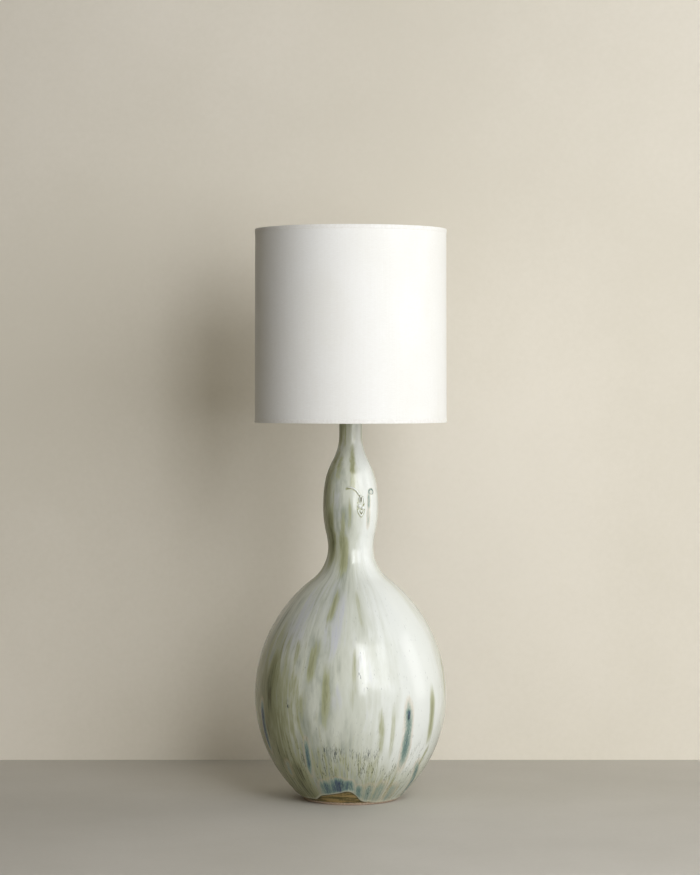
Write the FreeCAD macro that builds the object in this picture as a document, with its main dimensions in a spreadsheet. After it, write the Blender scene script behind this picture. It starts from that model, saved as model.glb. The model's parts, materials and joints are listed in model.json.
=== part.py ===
import FreeCAD, Part
import math
import os
import re

import Sketcher
from FreeCAD import Placement, Rotation, Vector

# Double gourd table lamp. Millimetres, +Z up, the origin at the centre of the foot, on the table.
# -Y is the front. The body is thrown stoneware, the shade is a straight drum on a harp.

SIZES = {
    # gourd body, outside
    "foot_radius": 62.5,
    "belly_radius": 130.2,
    "belly_height": 142.0,
    "belly_share": 0.78,
    "waist_radius": 30.6,
    "waist_rise": 201.0,
    "waist_share": 0.3,
    "lobe_radius": 37.3,
    "lobe_rise": 55.5,
    "lobe_arc": 213.0,
    "crown_rise": 27.5,
    "crown_arc": 99.0,
    "neck_radius": 15.6,
    "throat_rise": 69.0,
    "neck_length": 25.0,
    # gourd body, inside and underneath
    "wall_thickness": 6.0,
    "floor_thickness": 9.0,
    "recess_depth": 14.0,
    "foot_ring_width": 12.0,
    "foot_bevel": 1.2,
    "lip_round": 1.5,
    # cord outlet in the heel, at the back
    "outlet_height": 27.0,
    "outlet_radius": 6.0,
    "cord_bore": 3.6,
    "grommet_flange": 3.0,
    "grommet_lip": 1.2,
    "grommet_edge": 1.8,
    # threaded tube and the hardware that clamps it
    "pipe_radius": 5.0,
    "pipe_bore": 3.4,
    "pipe_tail": 1.2,
    "rod_clearance": 0.8,
    "thread_clearance": 0.1,
    "fit_gap": 0.2,
    "pad_radius": 19.0,
    "pad_thickness": 2.0,
    "washer_radius": 16.0,
    "washer_thickness": 1.6,
    "spring_washer_radius": 9.0,
    "spring_washer_thickness": 1.3,
    "spring_washer_turn": 345.0,
    "nut_circle": 9.2,
    "nut_height": 5.0,
    # neck closure
    "bush_flange": 1.5,
    "bush_depth": 12.0,
    "cap_plate": 1.6,
    "cap_skirt": 4.0,
    "cap_wall": 0.9,
    "ring_radius": 9.5,
    "ring_height": 3.0,
    "ring_arc": 1.8,
    # saddle that carries the harp
    "saddle_width": 12.0,
    "saddle_sheet": 1.6,
    "saddle_flat": 13.0,
    "saddle_rise": 8.0,
    "saddle_ledge": 23.5,
    "prong_start": 27.5,
    "prong_width": 3.0,
    "prong_height": 13.0,
    # harp
    "harp_wire": 1.6,
    "harp_height": 207.7,
    "harp_leg": 26.0,
    "harp_reach": 57.0,
    "harp_belly": 114.0,
    "harp_share": 0.45,
    "harp_side_arc": 150.0,
    "harp_corner_arc": 29.0,
    "sleeve_wall": 1.0,
    "sleeve_height": 16.0,
    "boss_radius": 8.0,
    "boss_height": 3.6,
    "boss_depth": 2.6,
    "pivot_radius": 2.5,
    "running_gap": 0.05,
    # swivel stud and finial
    "stud_head": 4.2,
    "stud_head_height": 1.4,
    "stud_flange": 6.8,
    "stud_flange_height": 1.5,
    "stud_radius": 3.1,
    "stud_length": 12.0,
    "finial_base": 6.5,
    "finial_collar": 2.6,
    "finial_neck": 3.9,
    "finial_stem": 7.5,
    "finial_ball": 6.6,
    "finial_bore_depth": 10.5,
    # socket
    "hub_radius": 7.4,
    "hub_height": 7.5,
    "socket_radius": 18.0,
    "socket_sheet": 0.8,
    "cap_dome": 11.0,
    "cap_rim": 6.0,
    "shell_lap": 5.0,
    "shell_length": 45.0,
    "liner_wall": 0.5,
    "block_radius": 14.0,
    "block_height": 15.0,
    "wire_hole": 3.6,
    "screw_radius": 13.5,
    "screw_sheet": 0.4,
    "screw_height": 26.0,
    "contact_radius": 5.5,
    "contact_height": 2.0,
    "terminal_radius": 2.4,
    "terminal_head": 1.2,
    "terminal_shank": 1.4,
    "terminal_length": 5.0,
    "key_height": 10.0,
    "key_shaft": 1.7,
    "key_root": 5.0,
    "key_standoff": 1.2,
    "key_radius": 6.5,
    "key_face": 5.85,
    "key_length": 9.0,
    "key_flute": 1.1,
    "key_flute_line": 6.83,
    "key_flutes": 12,
    # lamp bulb
    "base_radius": 13.1,
    "base_sheet": 0.4,
    "base_height": 21.0,
    "base_shoulder": 1.5,
    "insulator_height": 3.2,
    "tip_radius": 4.6,
    "tip_height": 1.2,
    "glass_neck": 12.4,
    "glass_insert": 5.0,
    "glass_radius": 30.0,
    "glass_wall": 0.9,
    "glass_height": 88.0,
    "glass_neck_height": 14.0,
    "stem_radius": 5.0,
    "stem_height": 34.0,
    # shade
    "shade_height": 262.0,
    "shade_radius": 129.7,
    "shade_flare": 0.6,
    "shade_sheet": 1.0,
    "shade_wire": 1.5,
    "shade_drop": 24.6,
    "trim_sheet": 0.4,
    "trim_height": 5.6,
    "trim_lip": 0.9,
    "trim_gap": 0.05,
    "hub_washer_radius": 12.0,
    "hub_washer_thickness": 1.6,
    "hub_hole_clearance": 0.4,
    "arm_flat": 14.0,
    "arm_bend": 8.0,
    "arm_drop": 1.2,
    "arm_count": 3,
}

doc = FreeCAD.newDocument("DoubleGourdLamp")
sheet = doc.addObject("Spreadsheet::Sheet", "Sizes")
for row, (alias, size) in enumerate(SIZES.items(), start=1):
    sheet.set("A%d" % row, alias)
    sheet.set("B%d" % row, str(size))
    sheet.setAlias("B%d" % row, alias)
doc.recompute()

# Levels of the gourd's stations above its belly.
WAIST = "(belly_height + waist_rise)"
LOBE = f"({WAIST} + lobe_rise)"
CROWN = f"({LOBE} + crown_rise)"
NECK = f"({CROWN} + throat_rise)"
NECK_TOP = f"({NECK} + neck_length)"
# Levels of the clamped stack, from the neck's lip up to the shade's hub.
CAP = f"({NECK_TOP} + bush_flange)"
SADDLE = f"({CAP} + cap_plate + ring_height)"
SADDLE_NUT = f"({SADDLE} + saddle_sheet)"
SOCKET = f"({SADDLE_NUT} + nut_height + fit_gap)"
LEDGE = f"({SADDLE} + saddle_rise + saddle_sheet)"
HARP_FOOT = f"({LEDGE} + fit_gap)"
HARP_TOP = f"({HARP_FOOT} + harp_height)"
STUD_SEAT = f"({HARP_TOP} + boss_height)"
HUB = f"({STUD_SEAT} + fit_gap + stud_flange_height + fit_gap)"
FINIAL = f"({HUB} + hub_washer_thickness + fit_gap)"
SHADE_TOP = f"({HUB} + hub_washer_thickness / 2 + shade_drop)"
SHADE_BOTTOM = f"({SHADE_TOP} - shade_height)"
# Levels of the socket and the lamp bulb in it.
CAP_RIM = f"({SOCKET} + hub_height + cap_dome + cap_rim)"
SHELL_FOOT = f"({CAP_RIM} - shell_lap)"
BLOCK_TOP = f"({SHELL_FOOT} + fit_gap + block_height)"
BULB_TIP = f"({BLOCK_TOP} + contact_height + fit_gap)"
BASE_FOOT = f"({BULB_TIP} + tip_height + insulator_height)"
GLASS_FOOT = f"({BASE_FOOT} + base_height - glass_insert)"
ROD_HOLE = "(pipe_radius + rod_clearance)"
THREAD = "(pipe_radius + thread_clearance)"
# The shade's rim wires lie under the fold of the tape.
TRIM_LAP = "(trim_sheet + trim_gap)"
TOP_RING = f"({SHADE_TOP} - {TRIM_LAP} - shade_wire)"
BOTTOM_RING = f"({SHADE_BOTTOM} + {TRIM_LAP} + shade_wire)"
# Across the harp's foot.
PRONG_BACK = "(prong_start + saddle_sheet)"
LEG = f"({PRONG_BACK} + fit_gap + harp_wire)"
SLEEVE_AT = f"((prong_start + {LEG} + harp_wire) / 2)"
SLEEVE_BORE = f"(({LEG} + harp_wire - prong_start) / 2 + 3 * fit_gap)"
CLOSE = 0.01


def bound(text):
    """Turns size names into references to the sheet."""
    return re.sub(r"[a-z]\w*", lambda word: ("Sizes." if word.group() in SIZES else "") + word.group(), text)


def value(text):
    """Today's number of a size or of a sum of sizes."""
    return float(sheet.evalExpression(bound(text)))


def origin_feature(body, role):
    return next(feature for feature in body.Origin.OriginFeatures if feature.Role == role)


def arc_edge(start, end, radius, turn):
    """An arc from start to end that turns left (+1) or right (-1), and its first and last vertex."""
    chord = end - start
    half = chord.Length / 2
    reach = math.sqrt(max(radius * radius - half * half, 0))
    left = Vector(-chord.y, chord.x, 0).normalize()
    centre = (start + end) / 2 + left * reach * turn
    first, last = (start, end) if turn > 0 else (end, start)
    circle = Part.Circle(centre, Vector(0, 0, 1), radius)
    low = math.atan2(first.y - centre.y, first.x - centre.x)
    high = math.atan2(last.y - centre.y, last.x - centre.x)
    if high <= low:
        high += 2 * math.pi
    return Part.ArcOfCircle(circle, low, high), ((1, 2) if turn > 0 else (2, 1))


class Outline:
    """A sketch of one run of lines and arcs. A corner given as two texts is bound to the sheet,
    and one given as a Vector is found by the tangents that meet there."""

    def __init__(self, body, name, corners, bends=None, smooth=(), closed=True, plane="XZ_Plane"):
        self.sketch = body.newObject("Sketcher::SketchObject", name)
        self.sketch.AttachmentSupport = [(origin_feature(body, plane), "")]
        self.sketch.MapMode = "FlatFace"
        bends = bends or {}
        points = [c if isinstance(c, Vector) else Vector(value(c[0]), value(c[1]), 0) for c in corners]
        count = len(points) if closed else len(points) - 1
        self.edges = []
        for index in range(count):
            start, end = points[index], points[(index + 1) % len(points)]
            if index in bends:
                radius, turn = bends[index]
                number = value(radius) if isinstance(radius, str) else radius
                shape, ends = arc_edge(start, end, number, turn)
            else:
                shape, ends = Part.LineSegment(start, end), (1, 2)
            self.edges.append((self.sketch.addGeometry(shape, False), *ends))
        for index in range(0 if closed else 1, count):
            before, after = self.edges[index - 1], self.edges[index]
            kind = "Tangent" if index in smooth else "Coincident"
            self.fix(kind, before[0], before[2], after[0], after[1])
        for index, corner in enumerate(corners):
            if not isinstance(corner, Vector):
                self.place(index, *corner)
        for index, (radius, turn) in bends.items():
            if isinstance(radius, str):
                self.bind("Radius", (self.edges[index][0],), radius)

    def fix(self, kind, *references):
        self.sketch.addConstraint(Sketcher.Constraint(kind, *references))

    def bind(self, kind, references, text):
        index = self.sketch.addConstraint(Sketcher.Constraint(kind, *references, value(text)))
        self.sketch.setExpression("Constraints[%d]" % index, bound(text))

    def vertex(self, index):
        """The sketch's name for a corner: an edge and one of its ends."""
        if index < len(self.edges):
            return self.edges[index][0], self.edges[index][1]
        return self.edges[-1][0], self.edges[-1][2]

    def place(self, index, across, up):
        for kind, text, axis in (("DistanceX", across, -2), ("DistanceY", up, -1)):
            if text == "0":
                self.fix("PointOnObject", *self.vertex(index), axis)
            else:
                self.bind(kind, (-1, 1, *self.vertex(index)), text)

    def level(self, edge, corner):
        """Puts an arc's centre at a corner's height, so that the arc stands upright there."""
        self.fix("Horizontal", self.edges[edge][0], 3, *self.vertex(corner))


def new_body(label):
    body = doc.addObject("PartDesign::Body", label)
    body.Label = label
    return body


def revolve(body, name, outline, kind="PartDesign::Revolution", angle="360"):
    feature = body.newObject(kind, name)
    feature.Profile = outline.sketch
    feature.ReferenceAxis = (outline.sketch, ["V_Axis"])
    feature.setExpression("Angle", bound(angle))
    outline.sketch.Visibility = False
    return feature


def turned(label, corners, bends=None, angle="360"):
    """A body of one turned profile."""
    body = new_body(label)
    revolve(body, "Turning", Outline(body, "Profile", corners, bends), angle=angle)
    return body


def ring(label, inner, outer, bottom, top, angle="360"):
    return turned(label, [(inner, bottom), (outer, bottom), (outer, top), (inner, top)], angle=angle)


def circle_sketch(body, name, plane, across, up, radius, depth="0"):
    """A circle on one of the body's planes, moved out along the plane's normal."""
    sketch = body.newObject("Sketcher::SketchObject", name)
    sketch.AttachmentSupport = [(origin_feature(body, plane), "")]
    sketch.MapMode = "FlatFace"
    sketch.AttachmentOffset = Placement(Vector(0, 0, value(depth)), Rotation())
    sketch.setExpression("AttachmentOffset.Base.z", bound(depth))
    centre = Vector(value(across), value(up), 0)
    circle = sketch.addGeometry(Part.Circle(centre, Vector(0, 0, 1), value(radius)), False)
    for kind, text, axis in (("DistanceX", across, -2), ("DistanceY", up, -1)):
        if text == "0":
            sketch.addConstraint(Sketcher.Constraint("PointOnObject", circle, 3, axis))
        else:
            index = sketch.addConstraint(Sketcher.Constraint(kind, -1, 1, circle, 3, value(text)))
            sketch.setExpression("Constraints[%d]" % index, bound(text))
    index = sketch.addConstraint(Sketcher.Constraint("Radius", circle, value(radius)))
    sketch.setExpression("Constraints[%d]" % index, bound(radius))
    return sketch


def pipe(body, name, section, path):
    """A round wire swept along a path of tangent lines and arcs."""
    feature = body.newObject("PartDesign::AdditivePipe", name)
    feature.Profile = section
    feature.Spine = path
    return feature


def cylinder(name, radius, height, placement=None):
    solid = doc.addObject("Part::Cylinder", name)
    solid.setExpression("Radius", bound(radius))
    solid.setExpression("Height", bound(height))
    if placement:
        solid.Placement = placement
    return solid


def s_curve_span(radius_a, height_a, radius_b, height_b):
    """Two tangent arcs join two upright stations: this is the sum of their radii."""
    across = f"({radius_a} - {radius_b})"
    return f"(({across} ^ 2 + ({height_b} - {height_a}) ^ 2) / (2 * abs{across}))"


LOWER_ARC = s_curve_span("belly_radius", "0", "foot_radius", "belly_height")
BELLY_SPAN = s_curve_span("belly_radius", "0", "waist_radius", "waist_rise")
WAIST_SPAN = s_curve_span("lobe_radius", "0", "waist_radius", "lobe_rise")


def between(start, end, share):
    return start + (end - start) * share


def wall_line(inset, foot):
    """Corners and bends of the gourd's wall, moved in by inset, from its foot up to the neck.
    Its stations are the foot, belly, waist, lobe, crown and neck, joined by tangent arcs."""
    depth = value(inset)
    belly = Vector(value("belly_radius") - depth, value("belly_height"), 0)
    waist = Vector(value("waist_radius") - depth, value(WAIST), 0)
    lobe = Vector(value("lobe_radius") - depth, value(LOBE), 0)
    neck = Vector(value("neck_radius") - depth, value(NECK), 0)
    shoulder = between(belly, waist, value("belly_share") - depth / value(BELLY_SPAN))
    bowl = between(waist, lobe, value("waist_share") + depth / value(WAIST_SPAN))
    lobe_arc = value("lobe_arc") - depth
    crown_arc = value("crown_arc") - depth
    tilt = math.asin(value("crown_rise / lobe_arc"))
    centre = Vector(lobe.x - lobe_arc, lobe.y, 0)
    outward = Vector(math.cos(tilt), math.sin(tilt), 0)
    crown = centre + outward * lobe_arc
    crown_centre = crown - outward * crown_arc
    across, rise = neck.x - crown_centre.x, neck.y - crown_centre.y
    neck_arc = (across ** 2 + rise ** 2 - crown_arc ** 2) / (2 * (crown_arc - across))
    neck_centre = Vector(neck.x + neck_arc, neck.y, 0)
    throat = between(crown_centre, neck_centre, crown_arc / (crown_arc + neck_arc))
    corners = [
        foot,
        (f"belly_radius - {inset}", "belly_height"),
        shoulder,
        (f"waist_radius - {inset}", WAIST),
        bowl,
        (f"lobe_radius - {inset}", LOBE),
        crown,
        throat,
        (f"neck_radius - {inset}", NECK),
    ]
    bends = [
        (f"{LOWER_ARC} - {inset}", 1),
        (f"belly_share * {BELLY_SPAN} - {inset}", 1),
        (value(f"(1 - belly_share) * {BELLY_SPAN} + {inset}"), -1),
        (f"waist_share * {WAIST_SPAN} + {inset}", -1),
        (value(f"(1 - waist_share) * {WAIST_SPAN} - {inset}"), 1),
        (f"lobe_arc - {inset}", 1),
        (f"crown_arc - {inset}", 1),
        (neck_arc, -1),
    ]
    return corners, bends


def heel_normal():
    """Where the cord leaves the wall, and the wall's outward direction there, in the YZ plane."""
    lower = value(LOWER_ARC)
    fall = (value("belly_height") - value("outlet_height")) / lower
    outward = Vector(0, math.sqrt(1 - fall ** 2), -fall)
    centre = Vector(0, value("belly_radius") - lower, value("belly_height"))
    return centre + outward * lower, outward


def build_gourd_body():
    body = new_body("gourd_body")
    outer, outer_bends = wall_line("0", ("foot_radius", "0"))
    lower = value(LOWER_ARC)
    floor = "(recess_depth + floor_thickness)"
    sink = value("belly_height") - value(floor)
    reach = math.sqrt((lower - value("wall_thickness")) ** 2 - sink ** 2)
    inner_foot = Vector(value("belly_radius") - lower + reach, value(floor), 0)
    inner, inner_bends = wall_line("wall_thickness", inner_foot)
    top = len(outer)
    corners = outer + [("neck_radius", NECK_TOP), ("neck_radius - wall_thickness", NECK_TOP)]
    inside = len(corners)
    corners += inner[::-1]
    corners += [
        (ROD_HOLE, floor),
        (ROD_HOLE, "recess_depth"),
        ("foot_radius - foot_ring_width", "recess_depth"),
        ("foot_radius - foot_ring_width", "0"),
    ]
    bends = dict(enumerate(outer_bends))
    bends.update({inside + index: (radius, -turn) for index, (radius, turn) in enumerate(inner_bends[::-1])})
    # Outside, corners 2, 4, 6 and 7 are where two arcs run into each other; inside, the same in reverse.
    meetings = [2, 4, 6, 7]
    smooth = meetings + [inside + top - 1 - index for index in meetings]
    profile = Outline(body, "Profile", corners, bends, smooth)
    for arc, station in ((1, 1), (2, 3), (3, 3), (4, 5), (5, 5), (7, 8)):
        profile.level(arc, station)
        profile.level(inside + top - 2 - arc, inside + top - 1 - station)
    profile.level(inside + top - 2, inside + top - 2)
    inner_crown = f"{LOBE} + crown_rise * (lobe_arc - wall_thickness) / lobe_arc"
    for corner, height in ((6, CROWN), (inside + 2, inner_crown), (inside + top - 1, floor)):
        profile.bind("DistanceY", (-1, 1, *profile.vertex(corner)), height)
    revolve(body, "Wall", profile)
    place, outward = heel_normal()
    hole = body.newObject("PartDesign::SubtractiveCylinder", "CordHole")
    hole.setExpression("Radius", bound("outlet_radius"))
    hole.setExpression("Height", bound("6 * wall_thickness"))
    start = place - outward * value("3 * wall_thickness")
    hole.Placement = Placement(start, Rotation(Vector(0, 0, 1), outward))
    doc.recompute()
    bevel = body.newObject("PartDesign::Chamfer", "FootBevel")
    bevel.Base = (hole, round_edges(hole.Shape, "0"))
    bevel.setExpression("Size", bound("foot_bevel"))
    doc.recompute()
    lip = body.newObject("PartDesign::Fillet", "Lip")
    lip.Base = (bevel, round_edges(bevel.Shape, NECK_TOP))
    lip.setExpression("Radius", bound("lip_round"))
    return body


def round_edges(shape, height):
    """Names of the full circles at one height."""
    names = []
    for index, edge in enumerate(shape.Edges, start=1):
        box = edge.BoundBox
        if edge.isClosed() and box.ZLength < CLOSE and abs(box.ZMin - value(height)) < CLOSE:
            names.append("Edge%d" % index)
    return names


def build_cord_grommet():
    """A rubber bush in the heel, square to the wall; it is turned about its own axis and then set in."""
    body = new_body("cord_grommet")
    sleeve = "outlet_radius - fit_gap"
    inner_face = "(wall_thickness + grommet_edge)"
    outer_face = f"({inner_face} + 3 * fit_gap + grommet_edge)"
    corners = [
        ("cord_bore", "0"),
        ("outlet_radius + grommet_lip", "0"),
        ("outlet_radius + grommet_lip", "grommet_edge"),
        (sleeve, "grommet_edge"),
        (sleeve, f"{inner_face} + 3 * fit_gap"),
        ("outlet_radius + grommet_flange", f"{inner_face} + 3 * fit_gap"),
        ("outlet_radius + grommet_flange - grommet_edge / 2", outer_face),
        ("cord_bore", outer_face),
    ]
    revolve(body, "Bush", Outline(body, "Profile", corners))
    place, outward = heel_normal()
    depth = value(f"{inner_face} + 2 * fit_gap")
    body.Placement = Placement(place - outward * depth, Rotation(Vector(0, 0, 1), outward))
    return body


def hex_nut(label, bottom):
    prism = doc.addObject("Part::Prism", label + "_blank")
    prism.Polygon = 6
    prism.setExpression("Circumradius", bound("nut_circle"))
    prism.setExpression("Height", bound("nut_height"))
    prism.setExpression("Placement.Base.z", bound(bottom))
    bore = cylinder(label + "_bore", THREAD, "nut_height")
    bore.setExpression("Placement.Base.z", bound(bottom))
    nut = doc.addObject("Part::Cut", label)
    nut.Base = prism
    nut.Tool = bore
    nut.Label = label
    return nut


def build_foot_hardware():
    """The clamp under the floor, inside the foot ring, from the floor down."""
    pad = "(recess_depth - pad_thickness)"
    washer = f"({pad} - washer_thickness)"
    spring = f"({washer} - spring_washer_thickness)"
    return [
        ring("base_pad", ROD_HOLE, "pad_radius", pad, "recess_depth"),
        ring("base_washer", ROD_HOLE, "washer_radius", washer, pad),
        ring("lock_washer", "pipe_radius + fit_gap", "spring_washer_radius", spring, washer,
             angle="spring_washer_turn"),
        hex_nut("base_nut", f"{spring} - nut_height"),
        ring("lamp_pipe", "pipe_bore", "pipe_radius", f"{spring} - nut_height - pipe_tail",
             f"{SOCKET} + hub_height"),
    ]


def build_neck_closure():
    bore = "pipe_radius + fit_gap"
    plug = "neck_radius - wall_thickness - fit_gap"
    skirt = "(neck_radius + 2 * fit_gap)"
    rim = f"({skirt} + cap_wall)"
    plate = f"({CAP} + cap_plate)"
    bush = turned("neck_bush", [
        (bore, f"{NECK_TOP} - bush_depth"), (plug, f"{NECK_TOP} - bush_depth"), (plug, NECK_TOP),
        ("neck_radius", NECK_TOP), ("neck_radius", CAP), (bore, CAP)])
    cap = turned("neck_cap", [
        (bore, CAP), (skirt, CAP), (skirt, f"{NECK_TOP} - cap_skirt"), (rim, f"{NECK_TOP} - cap_skirt"),
        (rim, CAP), (f"{rim} - cap_plate", plate), (bore, plate)],
        {4: ("cap_plate", 1)})
    half = "ring_height / 2"
    check = turned("check_ring", [
        (bore, plate), (f"ring_radius - {half}", plate), (f"ring_radius - {half}", SADDLE), (bore, SADDLE)],
        {1: ("ring_arc", 1)})
    return [bush, cap, check]


def slab(body, name, outline, width):
    """A profile in the XZ plane, thickened equally to front and back."""
    pad = body.newObject("PartDesign::Pad", name)
    pad.Profile = outline.sketch
    pad.setExpression("Length", bound(width))
    pad.SideType = "Symmetric"
    return pad


def mirror_left(body, name, features):
    """Repeats features on the other side of the YZ plane."""
    mirror = body.newObject("PartDesign::Mirrored", name)
    mirror.Originals = features
    mirror.MirrorPlane = (origin_feature(body, "YZ_Plane"), [""])
    body.Tip = mirror
    return mirror


def build_harp_saddle():
    """A U-shaped strip; the prongs at its ends stand inside the harp's legs."""
    body = new_body("harp_saddle")
    end = f"({SLEEVE_AT} + {SLEEVE_BORE} + sleeve_wall + fit_gap)"
    raised = f"({SADDLE} + saddle_rise)"
    strip = Outline(body, "Strip", [
        ("0", SADDLE), ("saddle_flat", SADDLE), ("saddle_ledge", raised), (end, raised),
        (end, LEDGE), ("saddle_ledge", LEDGE), ("saddle_flat", SADDLE_NUT), ("0", SADDLE_NUT)])
    prong = Outline(body, "Prong", [
        ("prong_start", raised), (PRONG_BACK, raised),
        (PRONG_BACK, f"{LEDGE} + prong_height"), ("prong_start", f"{LEDGE} + prong_height")])
    halves = [slab(body, "StripPad", strip, "saddle_width"), slab(body, "ProngPad", prong, "prong_width")]
    mirror_left(body, "LeftHalf", halves)
    hole = body.newObject("PartDesign::SubtractiveCylinder", "RodHole")
    hole.setExpression("Radius", bound("pipe_radius + fit_gap"))
    hole.setExpression("Height", bound("3 * saddle_sheet"))
    hole.Placement = Placement(Vector(0, 0, value(f"{SADDLE} - saddle_sheet")), Rotation())
    return body


def build_harp():
    """A wire bow with a bored boss on top. The right half is swept from the foot up and mirrored."""
    body = new_body("harp")
    leg, foot, top = value(LEG), value(HARP_FOOT), value(HARP_TOP)
    reach, belly = value("harp_reach"), value("harp_belly") + foot
    start, widest = Vector(leg, foot + value("harp_leg"), 0), Vector(reach, belly, 0)
    span = s_curve_span("harp_reach", f"({HARP_FOOT} + harp_leg)", LEG, f"({HARP_FOOT} + harp_belly)")
    sweep = between(start, widest, value("harp_share"))
    side, corner = value("harp_side_arc"), value("harp_corner_arc")
    rise = top - corner - belly
    corner_centre = Vector(reach - side + math.sqrt((side - corner) ** 2 - rise ** 2), top - corner, 0)
    side_centre = Vector(reach - side, belly, 0)
    cheek = side_centre + (corner_centre - side_centre).normalize() * side
    crest = Vector(corner_centre.x, top, 0)
    path = Outline(body, "Path", [
        (LEG, HARP_FOOT), (LEG, f"{HARP_FOOT} + harp_leg"), sweep,
        ("harp_reach", f"{HARP_FOOT} + harp_belly"), cheek, crest, ("0", HARP_TOP)],
        {1: (f"harp_share * {span}", -1), 2: (value(f"(1 - harp_share) * {span}"), 1),
         3: ("harp_side_arc", 1), 4: ("harp_corner_arc", 1)},
        smooth=(2, 4, 5), closed=False)
    for arc, station in ((1, 1), (2, 3), (3, 3)):
        path.level(arc, station)
    path.fix("Horizontal", path.edges[5][0])
    section = circle_sketch(body, "Section", "XY_Plane", LEG, "0", "harp_wire", HARP_FOOT)
    right = pipe(body, "RightHalf", section, path.sketch)
    mirror_left(body, "LeftHalf", [right])
    under = f"{HARP_TOP} - boss_depth"
    revolve(body, "Boss", Outline(body, "BossProfile", [
        ("0", under), ("boss_radius", under), ("boss_radius", STUD_SEAT), ("0", STUD_SEAT)]))
    revolve(body, "PivotBore", Outline(body, "BoreProfile", [
        ("0", f"{under} - boss_depth"), ("pivot_radius", f"{under} - boss_depth"),
        ("pivot_radius", f"{STUD_SEAT} + boss_depth"), ("0", f"{STUD_SEAT} + boss_depth")]),
        kind="PartDesign::Groove")
    return body


def build_sleeve(label, side):
    foot = f"({LEDGE} + fit_gap)"
    body = ring(label, SLEEVE_BORE, f"({SLEEVE_BORE} + sleeve_wall)", foot, f"{foot} + sleeve_height")
    body.setExpression("Placement.Base.x", bound(f"{side} * {SLEEVE_AT}"))
    return body


def build_harp_stud():
    """Pivots in the harp's boss and carries the shade's hub under the finial."""
    under = f"({HARP_TOP} - boss_depth - fit_gap)"
    seat = f"({STUD_SEAT} + fit_gap)"
    shank = "pivot_radius - running_gap"
    return turned("harp_stud", [
        ("0", f"{under} - stud_head_height"), ("stud_head", f"{under} - stud_head_height"),
        ("stud_head", under), (shank, under), (shank, seat), ("stud_flange", seat),
        ("stud_flange", f"{seat} + stud_flange_height"), ("stud_radius", f"{seat} + stud_flange_height"),
        ("stud_radius", f"{seat} + stud_flange_height + stud_length"),
        ("0", f"{seat} + stud_flange_height + stud_length")])


def build_finial():
    bore = "stud_radius + running_gap"
    ball = f"({FINIAL} + finial_stem)"
    top = f"({ball} + sqrt(finial_ball ^ 2 - finial_neck ^ 2) + finial_ball)"
    return turned("finial", [
        (bore, FINIAL), ("finial_base", FINIAL), ("finial_base", f"{FINIAL} + finial_collar"),
        ("finial_neck", f"{ball} - finial_collar / 2"), ("finial_neck", ball), ("0", top),
        ("0", f"{FINIAL} + finial_bore_depth"), (bore, f"{FINIAL} + finial_bore_depth")],
        {2: ("finial_stem", -1), 4: ("finial_ball", 1)})


def key_hole(body, radius):
    """Clears the switch shaft, which runs forward from the socket's middle."""
    hole = body.newObject("PartDesign::SubtractiveCylinder", "KeyHole")
    hole.setExpression("Radius", bound(radius))
    hole.setExpression("Height", bound("2 * socket_radius"))
    centre = Vector(0, -value("key_root - fit_gap"), value(f"{SHELL_FOOT} + key_height"))
    hole.Placement = Placement(centre, Rotation(Vector(0, 0, 1), Vector(0, -1, 0)))
    return hole


def build_socket():
    dome = f"({SOCKET} + hub_height)"
    waist = f"({dome} + cap_dome)"
    inside = "(socket_radius - socket_sheet)"
    cap = turned("socket_cap", [
        (THREAD, SOCKET), ("hub_radius", SOCKET), ("hub_radius", dome), ("socket_radius", waist),
        ("socket_radius", CAP_RIM), (inside, CAP_RIM), (inside, waist),
        ("hub_radius", f"{dome} + 1.5 * socket_sheet"), (THREAD, f"{dome} + 1.5 * socket_sheet")],
        {2: ("cap_dome", 1), 6: ("cap_dome - socket_sheet", -1)})
    shell_out = f"({inside} - fit_gap)"
    shell_in = f"({shell_out} - socket_sheet)"
    shell_top = f"({SHELL_FOOT} + shell_length)"
    shell = turned("socket_shell", [
        (shell_in, SHELL_FOOT), (shell_out, SHELL_FOOT), (shell_out, f"{shell_top} - 3 * socket_sheet"),
        ("socket_radius", shell_top), (inside, shell_top), (shell_in, f"{shell_top} - 3 * socket_sheet")])
    key_hole(shell, "2 * key_shaft")
    liner_out = f"({shell_in} - fit_gap)"
    liner = ring("socket_liner", f"({liner_out} - liner_wall)", liner_out,
                 f"{SHELL_FOOT} + fit_gap", f"{shell_top} - 4 * socket_sheet")
    key_hole(liner, "2 * key_shaft")
    block = ring("socket_block", "wire_hole", "block_radius", f"{SHELL_FOOT} + fit_gap", BLOCK_TOP)
    key_hole(block, "key_shaft + running_gap")
    bores = block.newObject("PartDesign::SubtractiveCylinder", "TerminalBores")
    bores.setExpression("Radius", bound("terminal_shank + fit_gap / 2"))
    bores.setExpression("Height", bound("2 * socket_radius"))
    across = Vector(-value("socket_radius"), 0, value(f"{SHELL_FOOT} + key_height"))
    bores.Placement = Placement(across, Rotation(Vector(0, 0, 1), Vector(1, 0, 0)))
    screw = turned("screw_shell", [
        ("wire_hole + contact_radius", BLOCK_TOP), ("screw_radius + screw_sheet", BLOCK_TOP),
        ("screw_radius + screw_sheet", f"{BLOCK_TOP} + screw_height"),
        ("screw_radius", f"{BLOCK_TOP} + screw_height"), ("screw_radius", f"{BLOCK_TOP} + screw_sheet"),
        ("wire_hole + contact_radius", f"{BLOCK_TOP} + screw_sheet")])
    contact = turned("center_contact", [
        ("0", BLOCK_TOP), ("contact_radius", BLOCK_TOP),
        ("contact_radius", f"{BLOCK_TOP} + contact_height / 2"),
        ("contact_radius / 2", f"{BLOCK_TOP} + contact_height"), ("0", f"{BLOCK_TOP} + contact_height")])
    return [cap, shell, liner, block, screw, contact, build_terminal_screws()]


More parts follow.
